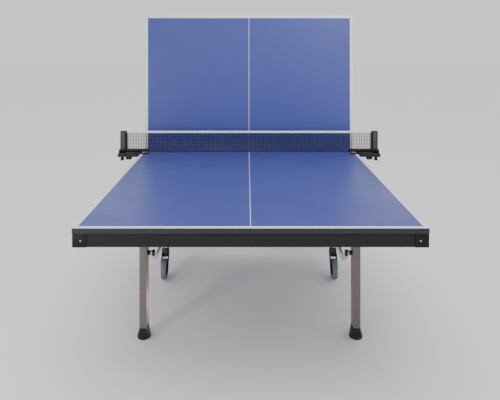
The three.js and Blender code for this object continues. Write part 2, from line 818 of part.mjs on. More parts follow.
/** The net set on the net edge of the front half. */
function makeNetSet() {
  const group = groupAt(0, 0, 0, new THREE.Euler());
  place(group, 'net', netShape(), navyNet);
  for (const side of [-1, 1]) {
    const name = sideName(side, 1);
    place(group, `net_bracket_${name}`, bracketShape(side), blackPlastic);
    place(group, `net_clamp_screw_${name}`, clampScrewShape(side), blackPlastic);
    place(group, `net_post_${name}`, netPostShape(side), blackPlastic);
  }
}

// ---------------------------------------------------------------- assembly

makeChassis();
makeCasters();
makeNetSet();
for (const row of rows) {
  makeHeads(row);
  makeHalf(row);
  makeLegs(row);
  makeStruts(row);
}

// The origin is on the floor under the middle of the table's bounding box.
table.updateMatrixWorld(true);
const middle = new THREE.Box3().setFromObject(table, true).getCenter(new THREE.Vector3());
for (const group of table.children) {
  group.position.y -= middle.y;
}

export default table;
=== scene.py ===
"""Folding table tennis table in its one-player position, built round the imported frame.

The front half of the top lies flat and the rear half stands upright behind the net. Every
piece is built where the front half needs it, and the rear half takes the same piece through
a turn. Metres, +Z up, the front end towards -Y.
"""

import json
import logging
import math
from dataclasses import dataclass
from enum import Enum
from typing import Any, Sequence

import bmesh
import bpy
from mathutils import Matrix, Vector


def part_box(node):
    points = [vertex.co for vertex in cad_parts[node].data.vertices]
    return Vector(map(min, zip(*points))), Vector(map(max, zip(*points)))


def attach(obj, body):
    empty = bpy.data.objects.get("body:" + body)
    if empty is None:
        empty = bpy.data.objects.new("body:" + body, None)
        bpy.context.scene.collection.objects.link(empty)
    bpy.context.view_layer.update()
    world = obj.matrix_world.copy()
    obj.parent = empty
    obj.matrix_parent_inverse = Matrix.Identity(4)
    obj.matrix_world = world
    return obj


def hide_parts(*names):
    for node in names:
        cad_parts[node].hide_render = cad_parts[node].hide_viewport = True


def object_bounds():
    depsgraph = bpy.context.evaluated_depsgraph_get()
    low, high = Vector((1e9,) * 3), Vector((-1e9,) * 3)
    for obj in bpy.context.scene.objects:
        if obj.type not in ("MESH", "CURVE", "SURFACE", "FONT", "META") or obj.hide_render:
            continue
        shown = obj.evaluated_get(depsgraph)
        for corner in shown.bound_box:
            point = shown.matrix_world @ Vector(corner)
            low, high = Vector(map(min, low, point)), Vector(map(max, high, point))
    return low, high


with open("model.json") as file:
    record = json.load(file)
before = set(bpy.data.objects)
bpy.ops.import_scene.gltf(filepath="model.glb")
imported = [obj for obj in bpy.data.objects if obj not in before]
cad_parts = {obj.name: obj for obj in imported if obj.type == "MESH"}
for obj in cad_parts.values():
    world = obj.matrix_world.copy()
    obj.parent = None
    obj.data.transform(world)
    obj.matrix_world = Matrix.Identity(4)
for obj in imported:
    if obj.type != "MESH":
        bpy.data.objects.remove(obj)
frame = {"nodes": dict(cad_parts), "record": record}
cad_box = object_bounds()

logging.basicConfig(level=logging.INFO, format="%(message)s")
log = logging.getLogger("table")

MM = 0.001
GAP = 0.3 * MM
SMOOTH_ANGLE = math.radians(38)
WAVES_PER_UNIT = 20
SIDES = (-1, 1)


class Axis(Enum):
    """The axis that a tube or a turned piece runs along."""

    X = 0
    Y = 1
    Z = 2


# ------------------------------ finishes


def linear(colour: Sequence[int]) -> tuple[float, float, float, float]:
    """A colour of 0 to 255 on a screen as the shader's linear colour.

    Args:
        colour: red, green and blue from 0 to 255.

    Returns:
        Red, green, blue and an alpha of 1.
    """
    parts = [c / 255 for c in colour]
    channels = [p / 12.92 if p <= 0.04045 else ((p + 0.055) / 1.055) ** 2.4 for p in parts]
    return (*channels, 1.0)


def fill(node: bpy.types.Node, values: dict[str, Any]) -> None:
    """Gives a shader node's sockets their values."""
    for socket, value in values.items():
        node.inputs[socket].default_value = value


@dataclass(frozen=True)
class Finish:
    """A surface finish: a base colour that drifts a little, with fine grain in its gloss."""

    name: str
    colour: tuple[int, int, int]
    roughness: float
    metallic: float = 0.0
    drift: float = 0.10
    drift_size: float = 0.09
    grain: float = 0.06
    grain_size: float = 0.0012
    coat: float = 0.0
    specular: float = 0.5
    gloss_drift: float = 0.12

    def shaded(self, factor: float) -> tuple[float, float, float, float]:
        """The base colour made lighter or darker by a factor."""
        red, green, blue, alpha = linear(self.colour)
        return (red * factor, green * factor, blue * factor, alpha)

    def noise(self, tree: bpy.types.NodeTree, size: float, detail: float) -> bpy.types.Node:
        """A noise on Object coordinates with features of about a given size.

        Args:
            tree: the material's node tree.
            size: the size of a feature in metres.
            detail: how many finer layers it has.

        Returns:
            The noise node.
        """
        place = tree.nodes.new("ShaderNodeTexCoord")
        noise = tree.nodes.new("ShaderNodeTexNoise")
        fill(noise, {"Scale": 1 / size, "Detail": detail})
        tree.links.new(place.outputs["Object"], noise.inputs["Vector"])
        return noise

    def pattern(self, tree: bpy.types.NodeTree) -> bpy.types.NodeSocket:
        """The height that the bump follows: fine grain, unless a finish says otherwise."""
        return self.noise(tree, self.grain_size, 3.0).outputs["Fac"]

    def material(self) -> bpy.types.Material:
        """The finish as a procedural material, made once.

        Returns:
            The material.
        """
        known = bpy.data.materials.get(self.name)
        if known is not None:
            return known
        material = bpy.data.materials.new(self.name)
        material.use_nodes = True
        tree = material.node_tree
        shader = tree.nodes["Principled BSDF"]
        fill(shader, {"Metallic": self.metallic, "Coat Weight": self.coat,
                      "Specular IOR Level": self.specular})
        drift = self.noise(tree, self.drift_size, 4.0)
        tint = tree.nodes.new("ShaderNodeMix")
        tint.data_type = "RGBA"
        fill(tint, {"A": self.shaded(1 - self.drift), "B": self.shaded(1 + self.drift)})
        tree.links.new(drift.outputs["Fac"], tint.inputs["Factor"])
        tree.links.new(tint.outputs["Result"], shader.inputs["Base Color"])
        gloss = tree.nodes.new("ShaderNodeMapRange")
        fill(gloss, {"From Min": 0.3, "From Max": 0.7,
                     "To Min": self.roughness * (1 - self.gloss_drift),
                     "To Max": min(1.0, self.roughness * (1 + self.gloss_drift))})
        scuff = self.noise(tree, self.drift_size / 3, 6.0)
        tree.links.new(scuff.outputs["Fac"], gloss.inputs["Value"])
        tree.links.new(gloss.outputs["Result"], shader.inputs["Roughness"])
        bump = tree.nodes.new("ShaderNodeBump")
        fill(bump, {"Strength": self.grain, "Distance": self.grain_size / 2})
        tree.links.new(self.pattern(tree), bump.inputs["Height"])
        tree.links.new(bump.outputs["Normal"], shader.inputs["Normal"])
        return material


@dataclass(frozen=True)
class WovenFinish(Finish):
    """A woven cloth: crossed threads raise the surface."""

    thread: float = 0.0011

    def pattern(self, tree: bpy.types.NodeTree) -> bpy.types.NodeSocket:
        """Crossed threads along X and Z."""
        place = tree.nodes.new("ShaderNodeTexCoord")
        total = tree.nodes.new("ShaderNodeMath")
        total.operation = "ADD"
        for index, direction in enumerate(("X", "Z")):
            wave = tree.nodes.new("ShaderNodeTexWave")
            wave.bands_direction = direction
            wave.inputs["Scale"].default_value = 1 / self.thread / WAVES_PER_UNIT
            tree.links.new(place.outputs["Object"], wave.inputs["Vector"])
            tree.links.new(wave.outputs["Fac"], total.inputs[index])
        return total.outputs[0]


@dataclass(frozen=True)
class BrushedFinish(Finish):
    """A metal with fine lines across it, left by brushing or turning."""

    def pattern(self, tree: bpy.types.NodeTree) -> bpy.types.NodeSocket:
        """Noise drawn out along X."""
        place = tree.nodes.new("ShaderNodeTexCoord")
        stretch = tree.nodes.new("ShaderNodeMapping")
        stretch.inputs["Scale"].default_value = (0.05, 1.0, 1.0)
        noise = tree.nodes.new("ShaderNodeTexNoise")
        noise.inputs["Scale"].default_value = 1 / self.grain_size
        tree.links.new(place.outputs["Object"], stretch.inputs["Vector"])
        tree.links.new(stretch.outputs["Vector"], noise.inputs["Vector"])
        return noise.outputs["Fac"]


class Finishes:
    """The finishes of the table."""

    PLAYING_BLUE = Finish("playing_blue", (72, 82, 156), 0.40, drift=0.03, drift_size=0.5,
                          grain=0.12, grain_size=0.0009)
    LINE_WHITE = Finish("line_white", (238, 240, 243), 0.45, drift=0.02, grain=0.1)
    BOARD_EDGE = Finish("board_edge_grey", (43, 44, 48), 0.45, drift=0.06, grain=0.08,
                        specular=0.35)
    BOARD_BACK = Finish("board_underside", (38, 44, 62), 0.7, drift=0.12, grain=0.2,
                        grain_size=0.002)
    APRON_BLACK = Finish("apron_black", (21, 21, 22), 0.42, drift=0.06, grain=0.08,
                         specular=0.3)
    FRAME_BLACK = Finish("frame_black", (27, 27, 29), 0.40, drift=0.10, grain=0.10,
                         specular=0.4)
    LEG_BRONZE = Finish("leg_grey_bronze", (108, 99, 95), 0.38, metallic=0.25, drift=0.06,
                        grain=0.10, grain_size=0.0010)
    STRUT_PALE = Finish("strut_pale_grey", (186, 184, 178), 0.38, metallic=0.15, drift=0.05)
    PLASTIC_BLACK = Finish("plastic_black", (23, 23, 25), 0.46, drift=0.08, grain=0.22,
                           grain_size=0.0008, specular=0.35)
    PLASTIC_GUARD = Finish("plastic_guard", (17, 17, 19), 0.55, drift=0.08, grain=0.25,
                           grain_size=0.0010, specular=0.25)
    POST_GREY = Finish("post_insert_grey", (60, 60, 65), 0.45, drift=0.08, grain=0.15)
    TYRE_BLUE_GREY = Finish("tyre_blue_grey", (96, 107, 119), 0.55, drift=0.10, grain=0.20,
                            grain_size=0.0015)
    RIM_DARK = Finish("rim_dark", (26, 27, 30), 0.50, drift=0.08, grain=0.15)
    ZINC = BrushedFinish("bright_zinc", (190, 190, 186), 0.28, metallic=0.95, drift=0.08,
                         grain=0.15, grain_size=0.0008)
    NET_CORD = WovenFinish("net_cord_navy", (20, 22, 34), 0.85, drift=0.15, grain=0.5)
    TAPE_WHITE = WovenFinish("net_tape_white", (232, 233, 235), 0.80, drift=0.04, grain=0.4)
    HEM_BLACK = WovenFinish("net_hem_black", (26, 27, 32), 0.80, drift=0.10, grain=0.4)


# ------------------------------ mesh building


def moved(point: Sequence[float]) -> Matrix:
    """A translation to a point."""
    return Matrix.Translation(Vector(point))


def side_name(side: int) -> str:
    """The name of a side: +1 is the right, -1 the left."""
    return "right" if side > 0 else "left"


def outer_x(span: "Span", side: int) -> float:
    """The X of the end of a span that lies away from the middle."""
    return span.high.x if side > 0 else span.low.x


def in_mm(*points: Sequence[float]) -> list[tuple[float, ...]]:
    """Points in millimetres as points in metres."""
    return [tuple(value * MM for value in point) for point in points]


def scaled(profile: Sequence[Sequence[float]], half: float) -> list[tuple[float, float]]:
    """A profile whose distances are shares of a half width, at its real size."""
    return [(half * share, radius) for share, radius in profile]


def mirrored(profile: Sequence[Sequence[float]], half: float) -> list[tuple[float, float]]:
    """The other side of such a profile, from its end back to its start."""
    return [(-half * share, radius) for share, radius in reversed(profile)]


def bevel(part: bmesh.types.BMesh, geom: list, radius: float, segments: int,
          affect: str = "EDGES") -> None:
    """Rounds edges or corners of a mesh.

    Args:
        part: the mesh.
        geom: the edges or corners.
        radius: the radius of the rounding.
        segments: the steps round it.
        affect: EDGES or VERTICES.
    """
    bmesh.ops.bevel(part, geom=geom, offset=radius, offset_type="OFFSET", segments=segments,
                    profile=0.5, affect=affect, material=-1)


def cube(centre: Sequence[float], size: Sequence[float]) -> bmesh.types.BMesh:
    """A box of a given size round a point.

    Args:
        centre: its middle.
        size: its length along each axis.

    Returns:
        The box as a new mesh.
    """
    part = bmesh.new()
    bmesh.ops.create_cube(part, size=1.0, matrix=moved(centre) @ Matrix.Diagonal((*size, 1)))
    return part


def ring_edges(part: bmesh.types.BMesh, ring: dict[str, list]) -> list[bmesh.types.BMEdge]:
    """The edges of a circle that was just made."""
    corners = set(ring["verts"])
    return [e for e in part.edges if set(e.verts) <= corners]


def loft(part: bmesh.types.BMesh, rings: list[list[bmesh.types.BMEdge]]) -> None:
    """Joins each ring of edges to the next."""
    for one, other in zip(rings, rings[1:]):
        bmesh.ops.bridge_loops(part, edges=one + other)


class Shape:
    """A mesh under construction, made of separately shaped solids."""

    def __init__(self) -> None:
        """Starts an empty shape."""
        self.mesh = bmesh.new()

    def take(self, part: bmesh.types.BMesh, material: int = 0) -> "Shape":
        """Adds a finished solid and frees it.

        Args:
            part: the solid.
            material: the index of its finish, where its faces have none yet.

        Returns:
            This shape.
        """
        if material:
            for face in part.faces:
                face.material_index = material
        bmesh.ops.recalc_face_normals(part, faces=part.faces[:])
        held = bpy.data.meshes.new("held")
        part.to_mesh(held)
        self.mesh.from_mesh(held)
        bpy.data.meshes.remove(held)
        part.free()
        return self

    def box(self, low: Sequence[float], high: Sequence[float], edge: float = 0.0,
            material: int = 0, segments: int = 3) -> "Shape":
        """Adds a box with rounded edges.

        Args:
            low: one corner.
            high: the opposite corner, in any order.
            edge: the radius of its edges.
            material: the index of its finish.
            segments: the steps round an edge.

        Returns:
            This shape.
        """
        size = [max(abs(a - b), 1e-5) for a, b in zip(low, high)]
        part = cube((Vector(low) + Vector(high)) / 2, size)
        if edge:
            bevel(part, part.edges[:], min(edge, min(size) * 0.49), segments)
        return self.take(part, material)

    def slab(self, outline: Sequence[Sequence[float]], span: Sequence[float],
             rounding: Sequence[float] = (), edge: float = 0.0, material: int = 0,
             axis: Axis = Axis.X) -> "Shape":
        """Adds a flat outline with a thickness.

        Args:
            outline: its corners: Y and Z across X, X and Z across Y, X and Y across Z.
            span: where it starts and ends along its axis.
            rounding: the radius of each corner, in the outline's order.
            edge: the radius of the edges round both faces.
            material: the index of its finish.
            axis: the axis of its thickness.

        Returns:
            This shape.
        """
        part = bmesh.new()
        start = min(span)
        place = {
            Axis.X: lambda a, b: (start, a, b),
            Axis.Y: lambda a, b: (a, start, b),
            Axis.Z: lambda a, b: (a, b, start),
        }[axis]
        corners = [part.verts.new(place(a, b)) for a, b in outline]
        part.faces.new(corners)
        for radius in sorted({r for r in rounding if r > 0}):
            chosen = [v for v, r in zip(corners, rounding) if r == radius]
            bevel(part, chosen, radius, 8, "VERTICES")
        bmesh.ops.remove_doubles(part, verts=part.verts[:], dist=1e-6)
        sweep = Vector((0, 0, 0))
        sweep[axis.value] = max(span) - start
        grown = bmesh.ops.extrude_face_region(part, geom=part.faces[:])
        fresh = [g for g in grown["geom"] if isinstance(g, bmesh.types.BMVert)]
        bmesh.ops.translate(part, vec=sweep, verts=fresh)
        bmesh.ops.recalc_face_normals(part, faces=part.faces[:])
        if edge:
            rims = [e for e in part.edges
                    if any(abs(f.normal[axis.value]) > 0.99 for f in e.link_faces)]
            bevel(part, rims, edge, 2)
        return self.take(part, material)

    def tube(self, low: Sequence[float], high: Sequence[float], axis: Axis,
             corner: float = 4 * MM, wall: float = 2 * MM, material: int = 0) -> "Shape":
        """Adds a hollow rectangular tube with rounded corners and open ends.

        Args:
            low: its lowest corner.
            high: its highest corner.
            axis: the axis that it runs along.
            corner: the radius of its corners.
            wall: the thickness of its wall.
            material: the index of its finish.

        Returns:
            This shape.
        """
        low, high = Vector(low), Vector(high)
        size = high - low
        centre = (low + high) / 2
        part = cube(centre, size)
        along = [e for e in part.edges
                 if abs((e.verts[0].co - e.verts[1].co)[axis.value]) > size[axis.value] / 2]
        bevel(part, along, corner, 4)
        ends = [f for f in part.faces if abs(f.normal[axis.value]) > 0.9]
        bmesh.ops.delete(part, geom=ends, context="FACES_ONLY")
        bmesh.ops.recalc_face_normals(part, faces=part.faces[:])
        outward = sum((f.calc_center_median() - centre).dot(f.normal) for f in part.faces)
        if outward < 0:
            bmesh.ops.reverse_faces(part, faces=part.faces[:])
        bmesh.ops.solidify(part, geom=part.faces[:], thickness=wall)
        return self.take(part, material)

    def turned(self, profile: Sequence[Sequence[float]], centre: Sequence[float], axis: Axis,
               steps: int = 40, material: int = 0) -> "Shape":
        """Adds a solid of revolution.

        Args:
            profile: distances along the axis and radii.
            centre: the point that distances are measured from.
            axis: its axis.
            steps: the steps round it.
            material: the index of its finish.

        Returns:
            This shape.
        """
        part = bmesh.new()
        first = (axis.value + 1) % 3
        points = []
        for along, radius in profile:
            point = Vector((0, 0, 0))
            point[axis.value] = along
            point[first] = radius
            points.append(part.verts.new(point))
        edges = [part.edges.new(pair) for pair in zip(points, points[1:])]
        direction = Vector((0, 0, 0))
        direction[axis.value] = 1
        bmesh.ops.spin(part, geom=points + edges, cent=(0, 0, 0), axis=direction,
                       angle=math.tau, steps=steps, use_merge=True)
        bmesh.ops.remove_doubles(part, verts=part.verts[:], dist=1e-6)
        bmesh.ops.translate(part, vec=Vector(centre), verts=part.verts[:])
        return self.take(part, material)

    def hexagon(self, centre: Sequence[float], axis: Axis, across: float, height: float,
                material: int = 0) -> "Shape":
        """Adds a hexagon bolt head or nut, centred on a point of its axis.

        Args:
            centre: the middle of the hexagon.
            axis: the bolt's axis.
            across: the distance between two opposite corners.
            height: the hexagon's height.
            material: the index of its finish.

        Returns:
            This shape.
        """
        part = bmesh.new()
        turn = {
            Axis.X: Matrix.Rotation(math.pi / 2, 4, "Y"),
            Axis.Y: Matrix.Rotation(math.pi / 2, 4, "X"),
            Axis.Z: Matrix.Identity(4),
        }[axis]
        bmesh.ops.create_cone(part, cap_ends=True, segments=6, radius1=across / 2,
                              radius2=across / 2, depth=height, matrix=moved(centre) @ turn)
        bevel(part, part.edges[:], height * 0.12, 2)
        return self.take(part, material)

    def sweep(self, route: Sequence[Sequence[float]], radius: float,
              material: int = 0, segments: int = 12) -> "Shape":
        """Adds a round rod along a route.

        Args:
            route: the points of its middle line.
            radius: its radius.
            material: the index of its finish.
            segments: the sides of its section.

        Returns:
            This shape.
        """
        part = bmesh.new()
        points = [Vector(p) for p in route]
        rings = []
        for index, point in enumerate(points):
            before = points[max(index - 1, 0)]
            after = points[min(index + 1, len(points) - 1)]
            turn = (after - before).to_track_quat("Z", "Y").to_matrix().to_4x4()
            ring = bmesh.ops.create_circle(part, cap_ends=index in (0, len(points) - 1),
                                           segments=segments, radius=radius,
                                           matrix=moved(point) @ turn)
            rings.append(ring_edges(part, ring))
        loft(part, rings)
        return self.take(part, material)

    def transform(self, matrix: Matrix) -> "Shape":
        """Moves the whole shape by a matrix and returns it."""
        bmesh.ops.transform(self.mesh, matrix=matrix, verts=self.mesh.verts[:])
        return self

    def piece(self, name: str, body: str, finishes: Sequence[Finish], slot: str,
              stands_for: Sequence[str] = ()) -> bpy.types.Object:
        """Makes the shape an object that rides on a body.

        Args:
            name: the piece's name.
            body: the body that it rides on.
            finishes: its finishes, in the order of the material indices.
            slot: the name of a record's material slot; not used.
            stands_for: the CAD nodes that it replaces.

        Returns:
            The object.
        """
        mesh = bpy.data.meshes.new(name)
        self.mesh.to_mesh(mesh)
        self.mesh.free()
        for finish in finishes:
            mesh.materials.append(finish.material())
        mesh.polygons.foreach_set("use_smooth", [True] * len(mesh.polygons))
        mesh.set_sharp_from_angle(angle=SMOOTH_ANGLE)
        thing = bpy.data.objects.new(name, mesh)
        bpy.context.scene.collection.objects.link(thing)
        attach(thing, body)
        if stands_for:
            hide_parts(*stands_for)
        log.info("%s on %s, %d faces", name, body, len(mesh.polygons))
        return thing


# ------------------------------ the frame's places


def joint_place(name: str) -> Vector:
    """The position of a hinge of the frame, by its name."""
    joints = frame["record"]["behaviour"]["joints"]
    return Vector(next(j["pos_m"] for j in joints if j["name"] == name))


@dataclass(frozen=True)
class Span:
    """The lowest and the highest corner of a CAD node."""

    low: Vector
    high: Vector

    @classmethod
    def of(cls, node: str) -> "Span":
        """The span of a node at rest."""
        low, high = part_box(node)
        return cls(Vector(low), Vector(high))

    @property
    def middle(self) -> Vector:
        """The middle of the span."""
        return (self.low + self.high) / 2


@dataclass(frozen=True)
class Row:
    """One half of the table and the turns that carry a front piece to its place there."""

    name: str
    facing: int
    half: Matrix
    level: Matrix
    leg: Matrix
    strut: Matrix
    caster: Matrix

    def side(self, side: int) -> str:
        """The name of a side (+1 or -1 on the front half) once it is in this row."""
        return side_name(side * self.facing)

    def named(self, part: str, side: int = 0) -> str:
        """The name of a part in this row, with its side where one is given."""
        return f"{self.name}_{part}_{self.side(side)}" if side else f"{self.name}_{part}"


def rows() -> list[Row]:
    """The front row, where everything stays, and the rear row, turned about the hinges.

    Returns:
        The two rows.
    """
    still = Matrix.Identity(4)
    about = Matrix.Rotation(math.pi, 4, "Z")
    upright = Matrix.Rotation(math.pi / 2, 4, "X") @ about

    def carry(turn: Matrix, start: Vector, end: Vector) -> Matrix:
        """A turn about a point that also moves the point."""
        return moved(end) @ turn @ moved(-start)

    fold = [joint_place(f"{name}_fold") for name in ("front", "rear")]
    leg = [joint_place(f"{name}_leg_hinge") for name in ("front", "rear")]
    strut = [joint_place(f"{name}_strut_hinge") for name in ("front", "rear")]
    caster = [joint_place(f"{name}_caster_swivel_{side}")
              for name, side in (("front", "right"), ("rear", "left"))]
    return [
        Row("front", 1, still, still, still, still, still),
        Row("rear", -1, carry(upright, *fold), carry(about, *fold), carry(about, *leg),
            carry(upright, *strut), carry(about, *caster)),
    ]


# ------------------------------ one half of the top


@dataclass
class HalfTop:
    """One half of the top: board, painted lines, apron rails, guards and their fixings."""

    row: Row
    screw_share: float = 0.62
    edge_line: float = 20 * MM
    centre_line: float = 3 * MM
    board_edge: float = 1.2 * MM
    rail_corner: float = 5 * MM
    guard_edge: float = 2.5 * MM

    @property
    def body(self) -> str:
        """The body that the half belongs to."""
        return self.row.named("half")

    def board(self) -> None:
        """The board: a blue face with white lines cut into it, dark edges and underside."""
        span = Span.of("front_board")
        part = cube(span.middle, span.high - span.low)
        bevel(part, part.edges[:], self.board_edge, 3)
        sides = (span.low.x + self.edge_line, span.high.x - self.edge_line)
        cuts = [((x, 0, 0), (1, 0, 0)) for x in sides]
        cuts += [((s * self.centre_line / 2, 0, 0), (1, 0, 0)) for s in SIDES]
        cuts.append(((0, span.low.y + self.edge_line, 0), (0, 1, 0)))
        for point, normal in cuts:
            everything = part.verts[:] + part.edges[:] + part.faces[:]
            bmesh.ops.bisect_plane(part, geom=everything, plane_co=point, plane_no=normal)
        for face in part.faces:
            middle = face.calc_center_median()
            lined = (not sides[0] < middle.x < sides[1] or abs(middle.x) < self.centre_line / 2
                     or middle.y < span.low.y + self.edge_line)
            if face.normal.z > 0.5:
                face.material_index = 1 if lined else 0
            elif face.normal.z < -0.5:
                face.material_index = 3
            else:
                face.material_index = 2
        Shape().take(part).transform(self.row.half).piece(
            self.row.named("playing_board"), self.body,
            [Finishes.PLAYING_BLUE, Finishes.LINE_WHITE, Finishes.BOARD_EDGE,
             Finishes.BOARD_BACK], "blue_top", [self.row.named("board")])

    def rail(self, node: str, name: str, axis: Axis) -> None:
        """One apron rail, as a rounded tube where the front half's rail is.

        Args:
            node: the front half's node.
            name: the end of the piece's name, after the row.
            axis: the axis that the rail runs along.
        """
        span = Span.of(node)
        shape = Shape().tube(span.low, span.high, axis, corner=self.rail_corner)
        shape.transform(self.row.half).piece(
            self.row.named(f"apron_{name}"), self.body, [Finishes.APRON_BLACK], "black_steel",
            [self.row.named(name)])

    def guard(self, side: int) -> None:
        """One corner guard: a moulded L with a screw on each leg.

        Args:
            side: +1 for the right of the front half, -1 for its left.
        """
        front = side_name(side)
        span = Span.of(f"front_corner_guard_{front}")
        rail = Span.of("front_end_rail")
        length = span.high.x - span.low.x
        thickness = rail.high.y - span.low.y
        corner_x = outer_x(span, side)
        corner_y = span.low.y
        outline = [(0, 0), (length, 0), (length, thickness), (thickness, thickness),
                   (thickness, length), (0, length)]
        placed = [(corner_x - side * x, corner_y + y) for x, y in outline]
        rounding = (7 * MM, 0, 0, 3 * MM, 0, 0)
        shape = Shape().slab(placed, (span.low.z, span.high.z), rounding, self.guard_edge,
                             axis=Axis.Z)
        middle_z = span.middle.z
        along_leg = length * self.screw_share
        screw = in_mm((-1.2, 0), (-1.2, 4), (0, 3.8), (0.12, 3.4), (0.12, 1.6), (-0.8, 1.4),
                      (-0.8, 0))
        inward = [(-along, radius) for along, radius in screw]
        shape.turned(inward, (corner_x - side * along_leg, corner_y, middle_z), Axis.Y, 20, 1)
        outward = screw if side > 0 else inward
        shape.turned(outward, (corner_x, corner_y + along_leg, middle_z), Axis.X, 20, 1)
        shape.transform(self.row.half).piece(
            self.row.named("guard", side), self.body,
            [Finishes.PLASTIC_GUARD, Finishes.ZINC], "black_plastic",
            [self.row.named("corner_guard", side)])

    def fixings(self) -> None:
        """The screws that hold the rails to the board, and the leg pins' nuts."""
        shape = Shape()
        net = Span.of("front_net_rail")
        end = Span.of("front_end_rail")
        pan = in_mm((0, 0), (-2.2, 0), (-2.2, 2.6), (-1.2, 4.6), (0.1, 5))
        for rail in (net, end):
            for step in range(-2, 3):
                x = step * (rail.high.x - rail.low.x) / 5
                shape.turned(pan, (x, rail.middle.y, rail.low.z), Axis.Z, 20)
        for front in ("left", "right"):
            side_rail = Span.of(f"front_side_rail_{front}")
            length = side_rail.high.y - side_rail.low.y
            for step in range(6):
                y = side_rail.low.y + length * (step + 0.5) / 6
                shape.turned(pan, (side_rail.middle.x, y, side_rail.low.z), Axis.Z, 20)
            beam = Span.of(f"front_beam_{front}")
            pin = joint_place("front_leg_hinge")
            for x, way in ((beam.low.x, -1), (beam.high.x, 1)):
                shape.hexagon((x + way * 2 * MM, pin.y, pin.z), Axis.X, 18 * MM, 5 * MM)
        shape.transform(self.row.half).piece(
            self.row.named("half_screws"), self.body, [Finishes.ZINC], "black_steel")

    def build(self) -> None:
        """Builds the half."""
        self.board()
        self.rail("front_end_rail", "end_rail", Axis.X)
        self.rail("front_net_rail", "net_rail", Axis.X)
        for side in SIDES:
            front = side_name(side)
            self.rail(f"front_side_rail_{front}", f"side_rail_{self.row.side(side)}", Axis.Y)
            self.guard(side)
        self.fixings()


# ------------------------------ legs


